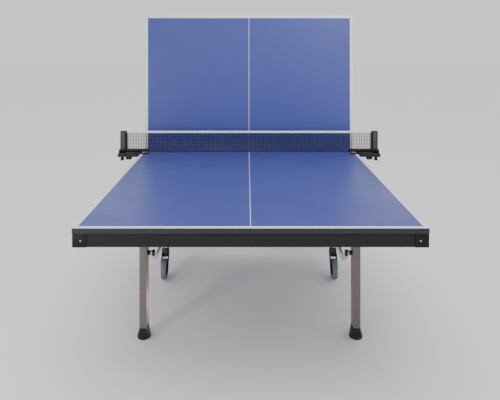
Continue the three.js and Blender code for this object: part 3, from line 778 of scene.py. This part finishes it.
@dataclass
class LegPair:
    """The two legs of one half with their crossbar and levelling feet."""

    row: Row
    edge: float = 5 * MM
    pin_radius: float = 5.9 * MM
    pin_length: float = 30 * MM
    foot_steps: int = 44
    foot_gap: float = 2 * MM
    foot_neck: float = 0.914
    foot_oblong: float = 0.63
    thread_pitch: float = 1.75 * MM
    thread_turns: int = 28
    foot_profile: tuple[tuple[float, float, float], ...] = (
        (0.0, 0.93, 0.0), (0.03, 0.98, 0.0), (0.10, 1.0, 0.0), (0.20, 0.995, 0.05),
        (0.34, 0.97, 0.22), (0.50, 0.94, 0.45), (0.68, 0.92, 0.72), (0.86, 0.914, 0.93),
        (0.96, 0.914, 1.0), (1.0, 0.895, 1.0),
    )

    @property
    def body(self) -> str:
        """The body of the leg pair."""
        return self.row.named("legs")

    def leg(self, side: int) -> None:
        """One leg tube with its round top, the strut spacer and its pin.

        Args:
            side: +1 for the right of the front half, -1 for its left.
        """
        front = side_name(side)
        foot = Span.of(f"front_foot_{front}")
        leg = Span.of(f"front_leg_{front}")
        knob = Span.of(f"front_strut_knob_{front}")
        strut = Span.of(f"front_strut_{front}")
        pivot = joint_place("front_leg_hinge")
        outer = outer_x(leg, side)
        middle = foot.middle.x
        inner = 2 * middle - outer
        half_depth = (leg.high.y - leg.low.y) / 2
        outline = [(pivot.y - half_depth, leg.low.z), (pivot.y + half_depth, leg.low.z),
                   (pivot.y + half_depth, leg.high.z), (pivot.y - half_depth, leg.high.z)]
        shape = Shape().slab(outline, (inner, outer), (0, 0, half_depth * 0.98, half_depth * 0.98),
                             self.edge)
        pin_z = knob.middle.z
        spacer_end = outer_x(strut, -side)
        reach = abs(inner - spacer_end)
        spacer = [*in_mm((0, 0), (0, 10), (1.5, 12)), (reach, 12 * MM), (reach, 0)]
        shape.turned([(side * a, r) for a, r in spacer],
                     (spacer_end + side * GAP, pivot.y, pin_z), Axis.X, 32, 1)
        pin_end = side * self.pin_length
        shape.turned([(0, 0), (0, self.pin_radius), (pin_end, self.pin_radius), (pin_end, 0)],
                     (knob.middle.x, pivot.y, pin_z), Axis.X, 24, 2)
        shape.transform(self.row.leg).piece(
            self.row.named("leg_tube", side), self.body,
            [Finishes.LEG_BRONZE, Finishes.PLASTIC_BLACK, Finishes.ZINC], "grey_steel",
            [self.row.named("leg", side)])

    def foot(self, side: int) -> None:
        """One bell foot, lofted from a round base to an oblong top, on its threaded stem.

        Args:
            side: +1 for the right of the front half, -1 for its left.
        """
        front = side_name(side)
        span = Span.of(f"front_foot_{front}")
        leg = Span.of(f"front_leg_{front}")
        centre = span.middle
        radius = (span.high.x - span.low.x) / 2
        height = leg.low.z - self.foot_gap
        part = bmesh.new()
        loops = []
        for rise, width, square in self.foot_profile:
            ring = bmesh.ops.create_circle(part, cap_ends=rise in (0.0, 1.0),
                                           segments=self.foot_steps, radius=1.0)
            power = 2 + 3 * square
            for vertex in ring["verts"]:
                x, y = vertex.co.x, vertex.co.y
                scale = (abs(x) ** power + abs(y) ** power) ** (-1 / power)
                narrow = 1 + (self.foot_oblong / self.foot_neck - 1) * square
                vertex.co = Vector((centre.x + x * scale * radius * width * narrow,
                                    centre.y + y * scale * radius * width, rise * height))
            loops.append(ring_edges(part, ring))
        loft(part, loops)
        shape = Shape().take(part)
        ring_z = height * 0.18
        groove = [(-1.2 * MM, radius * 0.98), (-0.8 * MM, radius * 0.998),
                  (0.8 * MM, radius * 0.998), (1.2 * MM, radius * 0.98), (-1.2 * MM, radius * 0.98)]
        shape.turned(groove, (centre.x, centre.y, ring_z), Axis.Z, self.foot_steps)
        thread = [(height - 1 * MM, 0), (height - 1 * MM, 6 * MM)]
        for turn in range(self.thread_turns):
            base = height + turn * self.thread_pitch
            thread += [(base, 5.2 * MM), (base + self.thread_pitch / 2, 6 * MM)]
        thread.append((height + self.thread_turns * self.thread_pitch, 0))
        shape.turned(thread, (centre.x, centre.y, 0), Axis.Z, 20, 1)
        name = self.row.named("foot", side)
        shape.transform(self.row.leg).piece(
            self.row.named("bell_foot", side), name,
            [Finishes.PLASTIC_BLACK, Finishes.ZINC], "black_plastic", [name])

    def crossbar(self) -> None:
        """The tube between the legs."""
        span = Span.of("front_leg_crossbar")
        Shape().tube(span.low, span.high, Axis.X).transform(self.row.leg).piece(
            self.row.named("leg_brace"), self.body, [Finishes.LEG_BRONZE], "grey_steel",
            [self.row.named("leg_crossbar")])

    def build(self) -> None:
        """Builds the legs."""
        for side in SIDES:
            self.leg(side)
            self.foot(side)
        self.crossbar()


# ------------------------------ struts


@dataclass
class StrutPair:
    """The cranked struts of one half, their release rods and the knobs on their pins."""

    row: Row
    height: float = 30 * MM
    shoulder: tuple[float, float] = (-171 * MM, -64 * MM)
    sag: tuple[float, float] = (139 * MM, -89 * MM)
    bend_radius: float = 85 * MM
    inner_bend: float = 55 * MM
    rod_radius: float = 3 * MM
    rod_gap: float = 6 * MM
    knob_lobes: int = 8
    lobe_depth: float = 0.07
    knob_edge: float = 2.2 * MM

    def middle_line(self) -> list[Vector]:
        """The strut's middle line in Y and Z, from the hinge head to the leg."""
        head = joint_place("front_strut_hinge").yz
        leg = Span.of("front_strut_knob_right").middle.yz
        return [head, head + Vector(self.shoulder), Vector((leg.x + self.sag[0],
                head.y + self.sag[1])), leg]

    def outline(self) -> tuple[list[tuple[float, float]], list[float]]:
        """The strut's outline and the radius of each corner.

        Returns:
            The corners in Y and Z, and their radii.
        """
        line = self.middle_line()
        half = self.height / 2
        upper, lower = [], []
        for index, point in enumerate(line):
            before = (point - line[index - 1]).normalized() if index else None
            after = (line[index + 1] - point).normalized() if index + 1 < len(line) else None
            along = ((before or after) + (after or before)).normalized()
            across = Vector((-along.y, along.x))
            if before and after:
                reach = half / max(across.dot(Vector((-after.y, after.x))), 0.5)
                shift = Vector((0, 0))
            else:
                reach = half
                shift = along * half * (1 if before else -1)
            upper.append(tuple(point + shift + across * reach))
            lower.append(tuple(point + shift - across * reach))
        upper_radii = [half * 0.98, 60 * MM, self.inner_bend, half * 0.98]
        lower_radii = [half * 0.98, half, self.bend_radius, half * 0.98]
        return upper + lower[::-1], upper_radii + lower_radii[::-1]

    def strut(self, side: int) -> None:
        """One strut with its release rod and the two clips that hold the rod.

        Args:
            side: +1 for the right of the front half, -1 for its left.
        """
        front = side_name(side)
        span = Span.of(f"front_strut_{front}")
        outline, radii = self.outline()
        shape = Shape().slab(outline, (span.low.x, span.high.x), radii, 1.6 * MM)
        line = self.middle_line()
        outer = outer_x(span, side)
        rod_x = outer + side * self.rod_gap
        start = line[1].lerp(line[0], 0.35)
        end = line[2].lerp(line[1], -0.02) + Vector((0, 7 * MM))
        near = line[1] + Vector((0, 5 * MM))
        route = [(rod_x, *start.lerp(near, t / 4)) for t in range(4)]
        route += [(rod_x, *near.lerp(end, t / 8)) for t in range(9)]
        shape.sweep(route, self.rod_radius, 1)
        for t in (0.12, 0.82):
            spot = near.lerp(end, t)
            shape.box((outer - side * 1 * MM, spot.x - 6 * MM, spot.y - 5 * MM),
                      (rod_x + side * 3.6 * MM, spot.x + 6 * MM, spot.y + 5 * MM), 1.5 * MM, 1)
        shape.transform(self.row.strut).piece(
            self.row.named("stay", side), self.row.named("struts"),
            [Finishes.STRUT_PALE, Finishes.PLASTIC_BLACK], "pale_steel",
            [self.row.named("strut", side)])

    def knob(self, side: int) -> None:
        """One lobed knob on the pin through strut and leg.

        Args:
            side: +1 for the right of the front half, -1 for its left.
        """
        front = side_name(side)
        span = Span.of(f"front_strut_knob_{front}")
        centre = span.middle
        radius = (span.high.z - span.low.z) / 2
        half = (span.high.x - span.low.x) / 2
        part = bmesh.new()
        segments = self.knob_lobes * 6
        turn = moved(centre) @ Matrix.Rotation(math.pi / 2, 4, "Y")
        bmesh.ops.create_cone(part, cap_ends=True, segments=segments, radius1=radius,
                              radius2=radius, depth=half * 2, matrix=turn)
        for vertex in part.verts:
            across = Vector((0, vertex.co.y - centre.y, vertex.co.z - centre.z))
            angle = math.atan2(across.z, across.y)
            dip = self.lobe_depth * (1 - math.cos(angle * self.knob_lobes)) / 2
            vertex.co -= across * dip
        rims = [e for e in part.edges if len(e.link_faces) == 2
                and any(abs(f.normal.x) > 0.9 for f in e.link_faces)]
        bevel(part, rims, self.knob_edge, 3)
        name = self.row.named("strut_knob", side)
        Shape().take(part).transform(self.row.strut).piece(
            self.row.named("lobed_knob", side), name,
            [Finishes.PLASTIC_BLACK], "black_plastic", [name])

    def build(self) -> None:
        """Builds the struts and their knobs."""
        for side in SIDES:
            self.strut(side)
            self.knob(side)


# ------------------------------ casters


@dataclass
class Caster:
    """One swivel caster: fork, axle, tyre and rim."""

    row: Row
    side: int
    spokes: int = 6
    head_height: float = 57.7 * MM
    tyre_gap: float = 2.5 * MM
    rim_share: float = 0.70
    hub_share: float = 0.24

    def fork(self) -> None:
        """The fork: a domed head, two cheeks, the stem, the axle and its nuts."""
        front = side_name(self.side)
        span = Span.of(f"front_caster_fork_{front}")
        wheel = Span.of(f"front_caster_wheel_{front}")
        swivel = joint_place(f"front_caster_swivel_{front}")
        axle = wheel.middle
        bearing = Span.of(f"side_frame_{front}")
        top = bearing.low.z - GAP
        bottom = top - self.head_height
        radius = (span.high.x - span.low.x) / 2
        inside = (wheel.high.x - wheel.low.x) / 2 + self.tyre_gap
        shape = Shape().turned(
            [(bottom, 0), (bottom, radius * 0.9), (bottom + 4 * MM, radius),
             (top - 16 * MM, radius), (top - 10 * MM, radius * 0.9), (top - 8 * MM, radius * 0.74),
             (top - 1 * MM, radius * 0.7), (top, radius * 0.66), (top, 6.3 * MM),
             (span.high.z, 6.3 * MM), (span.high.z, 0)],
            (swivel.x, swivel.y, 0), Axis.Z)
        shoulder = bottom + 26 * MM
        back = swivel.y - radius * 0.86
        ahead = swivel.y + radius * 0.86
        outline = [(ahead, shoulder), (back - 2 * MM, shoulder),
                   (back - 16 * MM, shoulder - 20 * MM), (axle.y - 14 * MM, axle.z),
                   (axle.y - 9 * MM, axle.z - 13 * MM), (axle.y + 11 * MM, axle.z - 11 * MM),
                   (ahead, bottom + 3 * MM)]
        rounding = (6 * MM, 10 * MM, 20 * MM, 8 * MM, 8 * MM, 8 * MM, 12 * MM)
        for way in SIDES:
            cheek = (swivel.x + way * inside, swivel.x + way * (inside + 4 * MM))
            shape.slab(outline, cheek, rounding, 1.2 * MM)
            shape.hexagon((cheek[1] + way * 2 * MM, axle.y, axle.z), Axis.X, 13 * MM, 4.4 * MM, 1)
        shape.turned([(-inside - 1 * MM, 0), (-inside - 1 * MM, 5 * MM), (inside + 1 * MM, 5 * MM),
                      (inside + 1 * MM, 0)], axle, Axis.X, 24, 1)
        name = self.row.named("caster_fork", self.side)
        shape.transform(self.row.caster).piece(
            self.row.named("fork", self.side), name,
            [Finishes.FRAME_BLACK, Finishes.ZINC], "black_steel", [name])

    def wheel(self) -> None:
        """The wheel: a rounded tyre on a spoked rim."""
        front = side_name(self.side)
        span = Span.of(f"front_caster_wheel_{front}")
        centre = span.middle
        radius = (span.high.z - span.low.z) / 2
        half = (span.high.x - span.low.x) / 2
        name = self.row.named("caster_wheel", self.side)
        inner = radius * self.rim_share
        right = [(0.5, radius * 0.994), (0.72, radius * 0.975), (0.92, radius * 0.93),
                 (1, radius * 0.86), (1, inner + 2 * MM), (0.80, inner)]
        tyre = [*mirrored(right, half), (0, radius), *scaled(right, half), (-half * 0.80, inner)]
        Shape().turned(tyre, centre, Axis.X, 64).transform(self.row.caster).piece(
            self.row.named("tyre", self.side), name,
            [Finishes.TYRE_BLUE_GREY], "wheel_rubber", [name])
        hub = radius * self.hub_share
        right = [(0.86, 5.7 * MM), (0.86, hub - 1.5 * MM), (0.80, hub), (0.16, hub + 4 * MM),
                 (0.22, inner - 5 * MM), (0.78, inner - 4.5 * MM), (0.84, inner - 1.5 * MM),
                 (0.78, inner - 0.2 * MM)]
        rim = [*mirrored(right, half), *scaled(right, half), (-half * 0.78, inner - 0.2 * MM)]
        shape = Shape().turned(rim, centre, Axis.X, 56)
        for spoke in range(self.spokes):
            turn = Matrix.Rotation(math.tau * spoke / self.spokes, 4, "X")
            rib = Shape().box((-half * 0.62, -2 * MM, hub - 1 * MM),
                              (half * 0.62, 2 * MM, inner - 4 * MM), 1.4 * MM)
            rib.transform(moved(centre) @ turn)
            shape.take(rib.mesh)
        shape.transform(self.row.caster).piece(
            self.row.named("rim", self.side), name, [Finishes.RIM_DARK],
            "wheel_rubber")

    def build(self) -> None:
        """Builds the caster."""
        self.fork()
        self.wheel()


# ------------------------------ chassis


@dataclass
class Chassis:
    """The rolling chassis: two welded side frames and two tubes across."""

    post_width: float = 40 * MM
    post_depth: float = 60 * MM
    corner: float = 5 * MM
    cap_inset: float = 2.2 * MM
    bolt_drops: tuple[float, float] = (145 * MM, 215 * MM)

    def side_frame(self, side: int) -> None:
        """One side frame with its end caps, caster bearings and slide bolts.

        Args:
            side: +1 for the right, -1 for the left.
        """
        name = side_name(side)
        span = Span.of(f"side_frame_{name}")
        beam = Span.of("cross_tube_front")
        fork = Span.of(f"front_caster_fork_{name}")
        rail_x = side * (beam.high.x + GAP + self.post_width / 2)
        half = self.post_width / 2
        bottom, top = beam.low.z, beam.high.z
        shape = Shape().tube((rail_x - half, span.low.y, bottom), (rail_x + half, span.high.y, top),
                             Axis.Y, self.corner)
        for end in (span.low.y, span.high.y):
            way = 1 if end == span.high.y else -1
            low_y, high_y = sorted((end, end - way * self.post_depth))
            shape.tube((rail_x - half, low_y, top - 0.5 * MM), (rail_x + half, high_y, span.high.z),
                       Axis.Z, self.corner)
            inset = self.cap_inset
            shape.box((rail_x - half + inset, end, bottom + inset),
                      (rail_x + half - inset, end - way * 2 * MM, top - inset), 1 * MM, 1)
            middle_y = (low_y + high_y) / 2
            bore, sleeve, seat = 7.2 * MM, 22 * MM, bottom + 0.5 * MM
            bearing = [(span.low.z, bore), (span.low.z, sleeve - 2 * MM),
                       (span.low.z + 2 * MM, sleeve), (seat, sleeve), (seat, bore),
                       (span.low.z, bore)]
            shape.turned(bearing, (fork.middle.x, middle_y, 0), Axis.Z, 40, 2)
            for drop in self.bolt_drops:
                z = joint_place("front_fold").z - drop
                for edge_x, way_x in ((span.low.x, 1), (span.high.x, -1)):
                    shape.hexagon((edge_x + way_x * 1.2 * MM, middle_y, z), Axis.X, 17 * MM,
                                  2.4 * MM, 2)
                shape.turned([(span.low.x + 2 * MM, 0), (span.low.x + 2 * MM, 4.9 * MM),
                              (span.high.x - 2 * MM, 4.9 * MM), (span.high.x - 2 * MM, 0)],
                             (0, middle_y, z), Axis.X, 20, 2)
        shape.piece(f"chassis_side_{name}", "chassis",
                    [Finishes.FRAME_BLACK, Finishes.PLASTIC_BLACK, Finishes.ZINC], "black_steel",
                    [f"side_frame_{name}"])

    def build(self) -> None:
        """Builds the chassis."""
        for side in SIDES:
            self.side_frame(side)
        for row in ("front", "rear"):
            span = Span.of(f"cross_tube_{row}")
            Shape().tube(span.low, span.high, Axis.X, self.corner).piece(
                f"chassis_tube_{row}", "chassis", [Finishes.FRAME_BLACK], "black_steel",
                [f"cross_tube_{row}"])


# ------------------------------ net set


@dataclass
class NetSet:
    """The net with its tape and hems, the posts, the clamp brackets and their screws."""

    pitch: float = 11.6 * MM
    level_pitch: float = 10 * MM
    upright_strand: float = 3.8 * MM
    level_strand: float = 2.0 * MM
    strand_depth: float = 0.9 * MM
    tape_height: float = 15 * MM
    tape_thickness: float = 3.2 * MM
    hem_radius: float = 1.6 * MM
    insert_rise: float = 0.5 * MM
    cloth_share: float = 0.6
    arm_rise: float = 10.3 * MM
    post_width: float = 45.5 * MM
    clamp_depth: float = 40 * MM
    clamp_reach: float = 6.5 * MM
    shelf_drop: float = 4 * MM

    def net(self) -> None:
        """The knotted net as separate strands, with tape, hems and the cord along its foot."""
        span = Span.of("net")
        post = Span.of("net_post_right")
        arm_end = post.low.x
        arm_top = joint_place("net_tilt").z + self.arm_rise
        y = span.middle.y
        half = self.strand_depth / 2
        shape = Shape()
        count = round((span.high.x - span.low.x) / self.pitch)
        for step in range(count + 1):
            x = span.low.x + (span.high.x - span.low.x) * step / count
            x = min(max(x, span.low.x + self.upright_strand), span.high.x - self.upright_strand)
            foot = arm_top if abs(x) > arm_end - 1 * MM else span.low.z
            shape.box((x - self.upright_strand / 2, y - half, foot),
                      (x + self.upright_strand / 2, y + half, span.high.z - 3 * MM))
        levels = round((span.high.z - span.low.z) / self.level_pitch)
        for step in range(1, levels):
            z = span.low.z + step * self.level_pitch
            reach = span.high.x if z > arm_top + 1 * MM else arm_end - 1 * MM
            shape.box((-reach, y - half, z - self.level_strand / 2),
                      (reach, y + half, z + self.level_strand / 2))
        net = shape.piece("net_mesh", "net_set", [Finishes.NET_CORD], "net_fabric", ["net"])
        tape_foot = span.high.z - self.tape_height
        tape = Shape().box((span.low.x, y - self.tape_thickness / 2, tape_foot),
                           (span.high.x, y + self.tape_thickness / 2, span.high.z), 1.2 * MM)
        band = tape.piece("net_tape", "net_set", [Finishes.TAPE_WHITE], "net_fabric")
        hem = Shape()
        foot = span.low.z + self.hem_radius
        hem.box((-arm_end + 1 * MM, y - self.hem_radius, span.low.z),
                (arm_end - 1 * MM, y + self.hem_radius, foot + 3 * MM), 1 * MM)
        for side in SIDES:
            edge = side * span.high.x
            hem.box((edge - side * 6 * MM, y - self.hem_radius, arm_top),
                    (edge, y + self.hem_radius, tape_foot), 1 * MM)
            hem.box((side * (arm_end - 1 * MM), y - self.hem_radius, arm_top),
                    (edge, y + self.hem_radius, arm_top + 4 * MM), 1 * MM)
        hems = hem.piece("net_hems", "net_set", [Finishes.HEM_BLACK], "net_fabric")

    def post(self, side: int) -> None:
        """One net post: a channel with a lighter insert, its arm and the net tightener.

        Args:
            side: +1 for the right, -1 for the left.
        """
        name = side_name(side)
        span = Span.of(f"net_post_{name}")
        net = Span.of("net")
        tilt = joint_place("net_tilt")
        outer = outer_x(span, side)
        inner = side * (net.high.x + GAP)
        tip = outer_x(span, -side)
        thick = (span.high.y - span.low.y) / 2
        outline = [(tilt.y - thick, tilt.z - thick), (tilt.y + thick, tilt.z - thick),
                   (tilt.y + thick, span.high.z), (tilt.y - thick, span.high.z)]
        shape = Shape().slab(outline, (inner, outer),
                             (thick * 0.98, thick * 0.98, 3 * MM, 3 * MM), 2.5 * MM)
        width = abs(outer - inner)
        for face in SIDES:
            plane = tilt.y + face * thick
            shape.box((inner + side * width * 0.28, plane - face * 1 * MM, tilt.z + 16 * MM),
                      (outer - side * width * 0.22, plane + face * self.insert_rise,
                       span.high.z - 8 * MM), 0.5 * MM, 1)
        shape.box((tip, tilt.y - 6 * MM, tilt.z - 9.8 * MM),
                  (inner + side * 2 * MM, tilt.y + 6 * MM, tilt.z + 9.8 * MM), 2 * MM)
        shape.turned([(0, 0), (0, 7.5 * MM), (-side * 1.2 * MM, 8 * MM), (-side * 3 * MM, 8 * MM),
                      (-side * 3 * MM, 0)],
                     (outer - side * 0.2 * MM, tilt.y, span.high.z - 16 * MM), Axis.X, 28, 1)
        shape.piece(f"net_upright_{name}", "net_set",
                    [Finishes.PLASTIC_BLACK, Finishes.POST_GREY], "black_plastic",
                    [f"net_post_{name}"])

    def bracket(self, side: int) -> None:
        """One clamp bracket: jaws, shelf, cheek with its pin, and the height screw's knob.

        Args:
            side: +1 for the right, -1 for the left.
        """
        name = side_name(side)
        span = Span.of(f"net_bracket_{name}")
        board = Span.of("front_board")
        post = Span.of(f"net_post_{name}")
        tilt = joint_place("net_tilt")
        outer = outer_x(span, side)
        jaw = outer_x(span, -side)
        edge = side * board.high.x
        top = board.high.z
        near, far = span.low.y, span.low.y + self.clamp_depth
        wall = edge + side * self.clamp_reach
        shape = Shape()
        shape.box((jaw, near, top + GAP), (wall, far, top + 4.3 * MM), 1.2 * MM)
        shape.box((edge + side * 0.5 * MM, near, top - 57 * MM),
                  (wall, far, top + 3.5 * MM), 1.2 * MM)
        shape.box((jaw, near, top - 62 * MM), (wall, far, top - 56 * MM), 1.2 * MM)
        shelf_top = top - self.shelf_drop
        shape.box((wall - side * 2 * MM, near + 22 * MM, shelf_top - 18 * MM),
                  (outer, span.high.y, shelf_top), 3 * MM)
        post_outer = outer_x(post, side)
        post_inner = post_outer - side * self.post_width
        plate_y = (near + 20.5 * MM, near + 26.5 * MM)
        shape.box((wall + side * 3 * MM, plate_y[0], shelf_top - 21 * MM),
                  (post_inner - side * 2 * MM, plate_y[1], shelf_top + 13 * MM), 1.5 * MM)
        shape.box((post_inner - side * 3 * MM, plate_y[0], shelf_top - 21 * MM),
                  (outer, plate_y[1], shelf_top + 5.5 * MM), 1.5 * MM)
        shape.box((edge + side * 1 * MM, span.high.y - 3.5 * MM, shelf_top - 16 * MM),
                  (outer, span.high.y, shelf_top + 7.8 * MM), 1 * MM)
        rod = in_mm((44, 0), (44, 5), (42, 6.5), (17, 6.5), (17, 0))
        shape.turned([(shelf_top - drop, radius) for drop, radius in rod],
                     (wall + side * 12 * MM, near + 30 * MM, 0), Axis.Z, 20)
        cheek = [(tilt.y - 9.4 * MM, shelf_top - 3 * MM), (tilt.y + 9.4 * MM, shelf_top - 3 * MM),
                 (tilt.y + 9.4 * MM, tilt.z + 9.4 * MM), (tilt.y - 9.4 * MM, tilt.z + 9.4 * MM)]
        shape.slab(cheek, (post_outer + side * 1 * MM, outer), (0, 0, 9 * MM, 9 * MM), 1.5 * MM)
        shape.turned([(0, 0), (0, 4.4 * MM), (side * 30 * MM, 4.4 * MM), (side * 30 * MM, 0)],
                     (post_outer - side * 25 * MM, tilt.y, tilt.z), Axis.X, 20, 1)
        shape.box((post_inner - side * 36 * MM, near + 36 * MM, shelf_top - 44 * MM),
                  (post_inner + side * 4 * MM, span.high.y - 6 * MM, shelf_top - 17 * MM), 4 * MM)
        knob_x = post_outer - side * 15 * MM
        knob = in_mm((51, 0), (51, 10), (49, 12.2), (31, 12.2), (29, 10), (29, 6), (17, 6), (17, 0))
        shape.turned([(shelf_top - drop, radius) for drop, radius in knob],
                     (knob_x, near + 50 * MM, 0), Axis.Z, 16)
        shape.piece(f"net_clamp_{name}", "front_half",
                    [Finishes.PLASTIC_BLACK, Finishes.ZINC], "black_plastic",
                    [f"net_bracket_{name}"])

    def screw(self, side: int) -> None:
        """One clamp screw: pad, threaded stem and a fluted knob.

        Args:
            side: +1 for the right, -1 for the left.
        """
        name = side_name(side)
        span = Span.of(f"net_clamp_screw_{name}")
        centre = span.middle
        bottom, top = span.low.z, span.high.z
        shape = Shape().turned([(top - 5 * MM, 0), (top - 5 * MM, 8 * MM), (top - 4 * MM, 9 * MM),
                                (top - 1 * MM, 9 * MM), (top, 8 * MM), (top, 0)],
                               (centre.x, centre.y, 0), Axis.Z, 32)
        thread = [(bottom + 17 * MM, 0)]
        for turn in range(36):
            base = bottom + 17 * MM + turn * 1.25 * MM
            thread += [(base, 3.4 * MM), (base + 0.6 * MM, 4 * MM)]
        thread += [(top - 4.5 * MM, 3.4 * MM), (top - 4.5 * MM, 0)]
        shape.turned(thread, (centre.x, centre.y, 0), Axis.Z, 20, 1)
        part = bmesh.new()
        bmesh.ops.create_cone(part, cap_ends=True, segments=48, radius1=15 * MM, radius2=14 * MM,
                              depth=18 * MM, matrix=moved((centre.x, centre.y, bottom + 9 * MM)))
        for vertex in part.verts:
            across = Vector((vertex.co.x - centre.x, vertex.co.y - centre.y, 0))
            angle = math.atan2(across.y, across.x)
            vertex.co -= across * 0.08 * (1 - math.cos(angle * 8)) / 2
        bevel(part, [e for e in part.edges if any(abs(f.normal.z) > 0.9 for f in e.link_faces)],
              2 * MM, 3)
        shape.take(part)
        shape.piece(f"net_thumbscrew_{name}", f"net_clamp_screw_{name}",
                    [Finishes.PLASTIC_BLACK, Finishes.ZINC], "black_plastic",
                    [f"net_clamp_screw_{name}"])

    def build(self) -> None:
        """Builds the net set."""
        self.net()
        for side in SIDES:
            self.post(side)
            self.bracket(side)
            self.screw(side)


# ------------------------------ CAD nodes that stay


def dress_frame_nodes() -> None:
    """Gives the beams and hinge heads, whose CAD shape stays, their finish."""
    for row in ("front", "rear"):
        for side in ("left", "right"):
            for part in ("beam", "hinge_head"):
                node = frame["nodes"][f"{row}_{part}_{side}"]
                for index in range(max(1, len(node.material_slots))):
                    if not node.material_slots:
                        node.data.materials.append(Finishes.FRAME_BLACK.material())
                    node.material_slots[index].material = Finishes.FRAME_BLACK.material()


# ------------------------------ studio


@dataclass
class Studio:
    """The floor, the lights and the camera."""

    lens: float = 34.304
    stand_back: float = 2.0274
    eye_height: float = 1.5619
    offset: float = -0.0169
    shift: tuple[float, float] = (0.00666, -0.3206)
    floor_size: float = 60.0
    surroundings: float = 1.0
    bounce_power: float = 3.0

    def floor(self) -> None:
        """A plain pale floor."""
        material = bpy.data.materials.new("studio_floor")
        material.use_nodes = True
        shader = material.node_tree.nodes["Principled BSDF"]
        fill(shader, {"Base Color": (0.97, 0.97, 0.97, 1), "Roughness": 0.9,
                      "Specular IOR Level": 0.1})
        part = bmesh.new()
        bmesh.ops.create_grid(part, x_segments=2, y_segments=2, size=self.floor_size / 2)
        mesh = bpy.data.meshes.new("floor")
        part.to_mesh(mesh)
        part.free()
        mesh.materials.append(material)
        ground = bpy.data.objects.new("floor", mesh)
        bpy.context.scene.collection.objects.link(ground)

    def area(self, name: str, place: Sequence[float], aim: Sequence[float], size: float,
             power: float, spread: float = 180.0) -> None:
        """One soft lamp.

        Args:
            name: its name.
            place: where it hangs.
            aim: the point that it looks at.
            size: the length of its side.
            power: its power in watts.
            spread: the angle of its beam in degrees.
        """
        lamp = bpy.data.lights.new(name, "AREA")
        lamp.shape = "SQUARE"
        lamp.size = size
        lamp.energy = power
        lamp.spread = math.radians(spread)
        holder = bpy.data.objects.new(name, lamp)
        holder.location = place
        turn = (Vector(aim) - Vector(place)).to_track_quat("-Z", "Y")
        holder.rotation_euler = turn.to_euler()
        bpy.context.scene.collection.objects.link(holder)

    def lights(self) -> None:
        """White surroundings, a large lamp overhead, and one low on each side."""
        world = bpy.data.worlds.new("studio")
        world.use_nodes = True
        sky = world.node_tree.nodes["Background"]
        fill(sky, {"Color": (1, 1, 1, 1), "Strength": self.surroundings})
        bpy.context.scene.world = world
        self.area("overhead", (0.2, -1.0, 4.4), (0, -0.2, 0.5), 3.4, 60)
        self.area("left_key", (-2.4, -2.8, 1.0), (-0.6, -0.3, 0.4), 0.7, 3.0, 50)
        self.floor_bounce()
        self.area("right_fill", (1.7, -2.6, 2.5), (0.55, 0.6, 1.45), 0.9, 2.5, 45)

    def floor_bounce(self) -> None:
        """The light that a bright floor sends up under the table, as a hidden lamp."""
        self.area("floor_bounce", (-0.2, -0.3, 0.02), (-0.2, -0.3, 1), 0.5, self.bounce_power)
        bpy.data.objects["floor_bounce"].visible_camera = False

    def camera(self) -> None:
        """The camera, level, in front of the table's front end."""
        lens = bpy.data.cameras.new("camera")
        lens.lens = self.lens
        lens.sensor_width = 36.0
        lens.shift_x, lens.shift_y = self.shift
        holder = bpy.data.objects.new("camera", lens)
        holder.location = (self.offset, cad_box[0][1] - self.stand_back, self.eye_height)
        holder.rotation_euler = (math.pi / 2, 0, 0)
        bpy.context.scene.collection.objects.link(holder)
        bpy.context.scene.camera = holder

    def build(self) -> None:
        """Builds the studio."""
        self.camera()
        self.floor()
        self.lights()


def main() -> None:
    """Builds the studio and every part of the table in order."""
    Studio().build()
    for row in rows():
        HalfTop(row).build()
        LegPair(row).build()
        StrutPair(row).build()
        for side in SIDES:
            Caster(row, side).build()
    Chassis().build()
    NetSet().build()
    dress_frame_nodes()


if __name__ == "__main__":
    main()
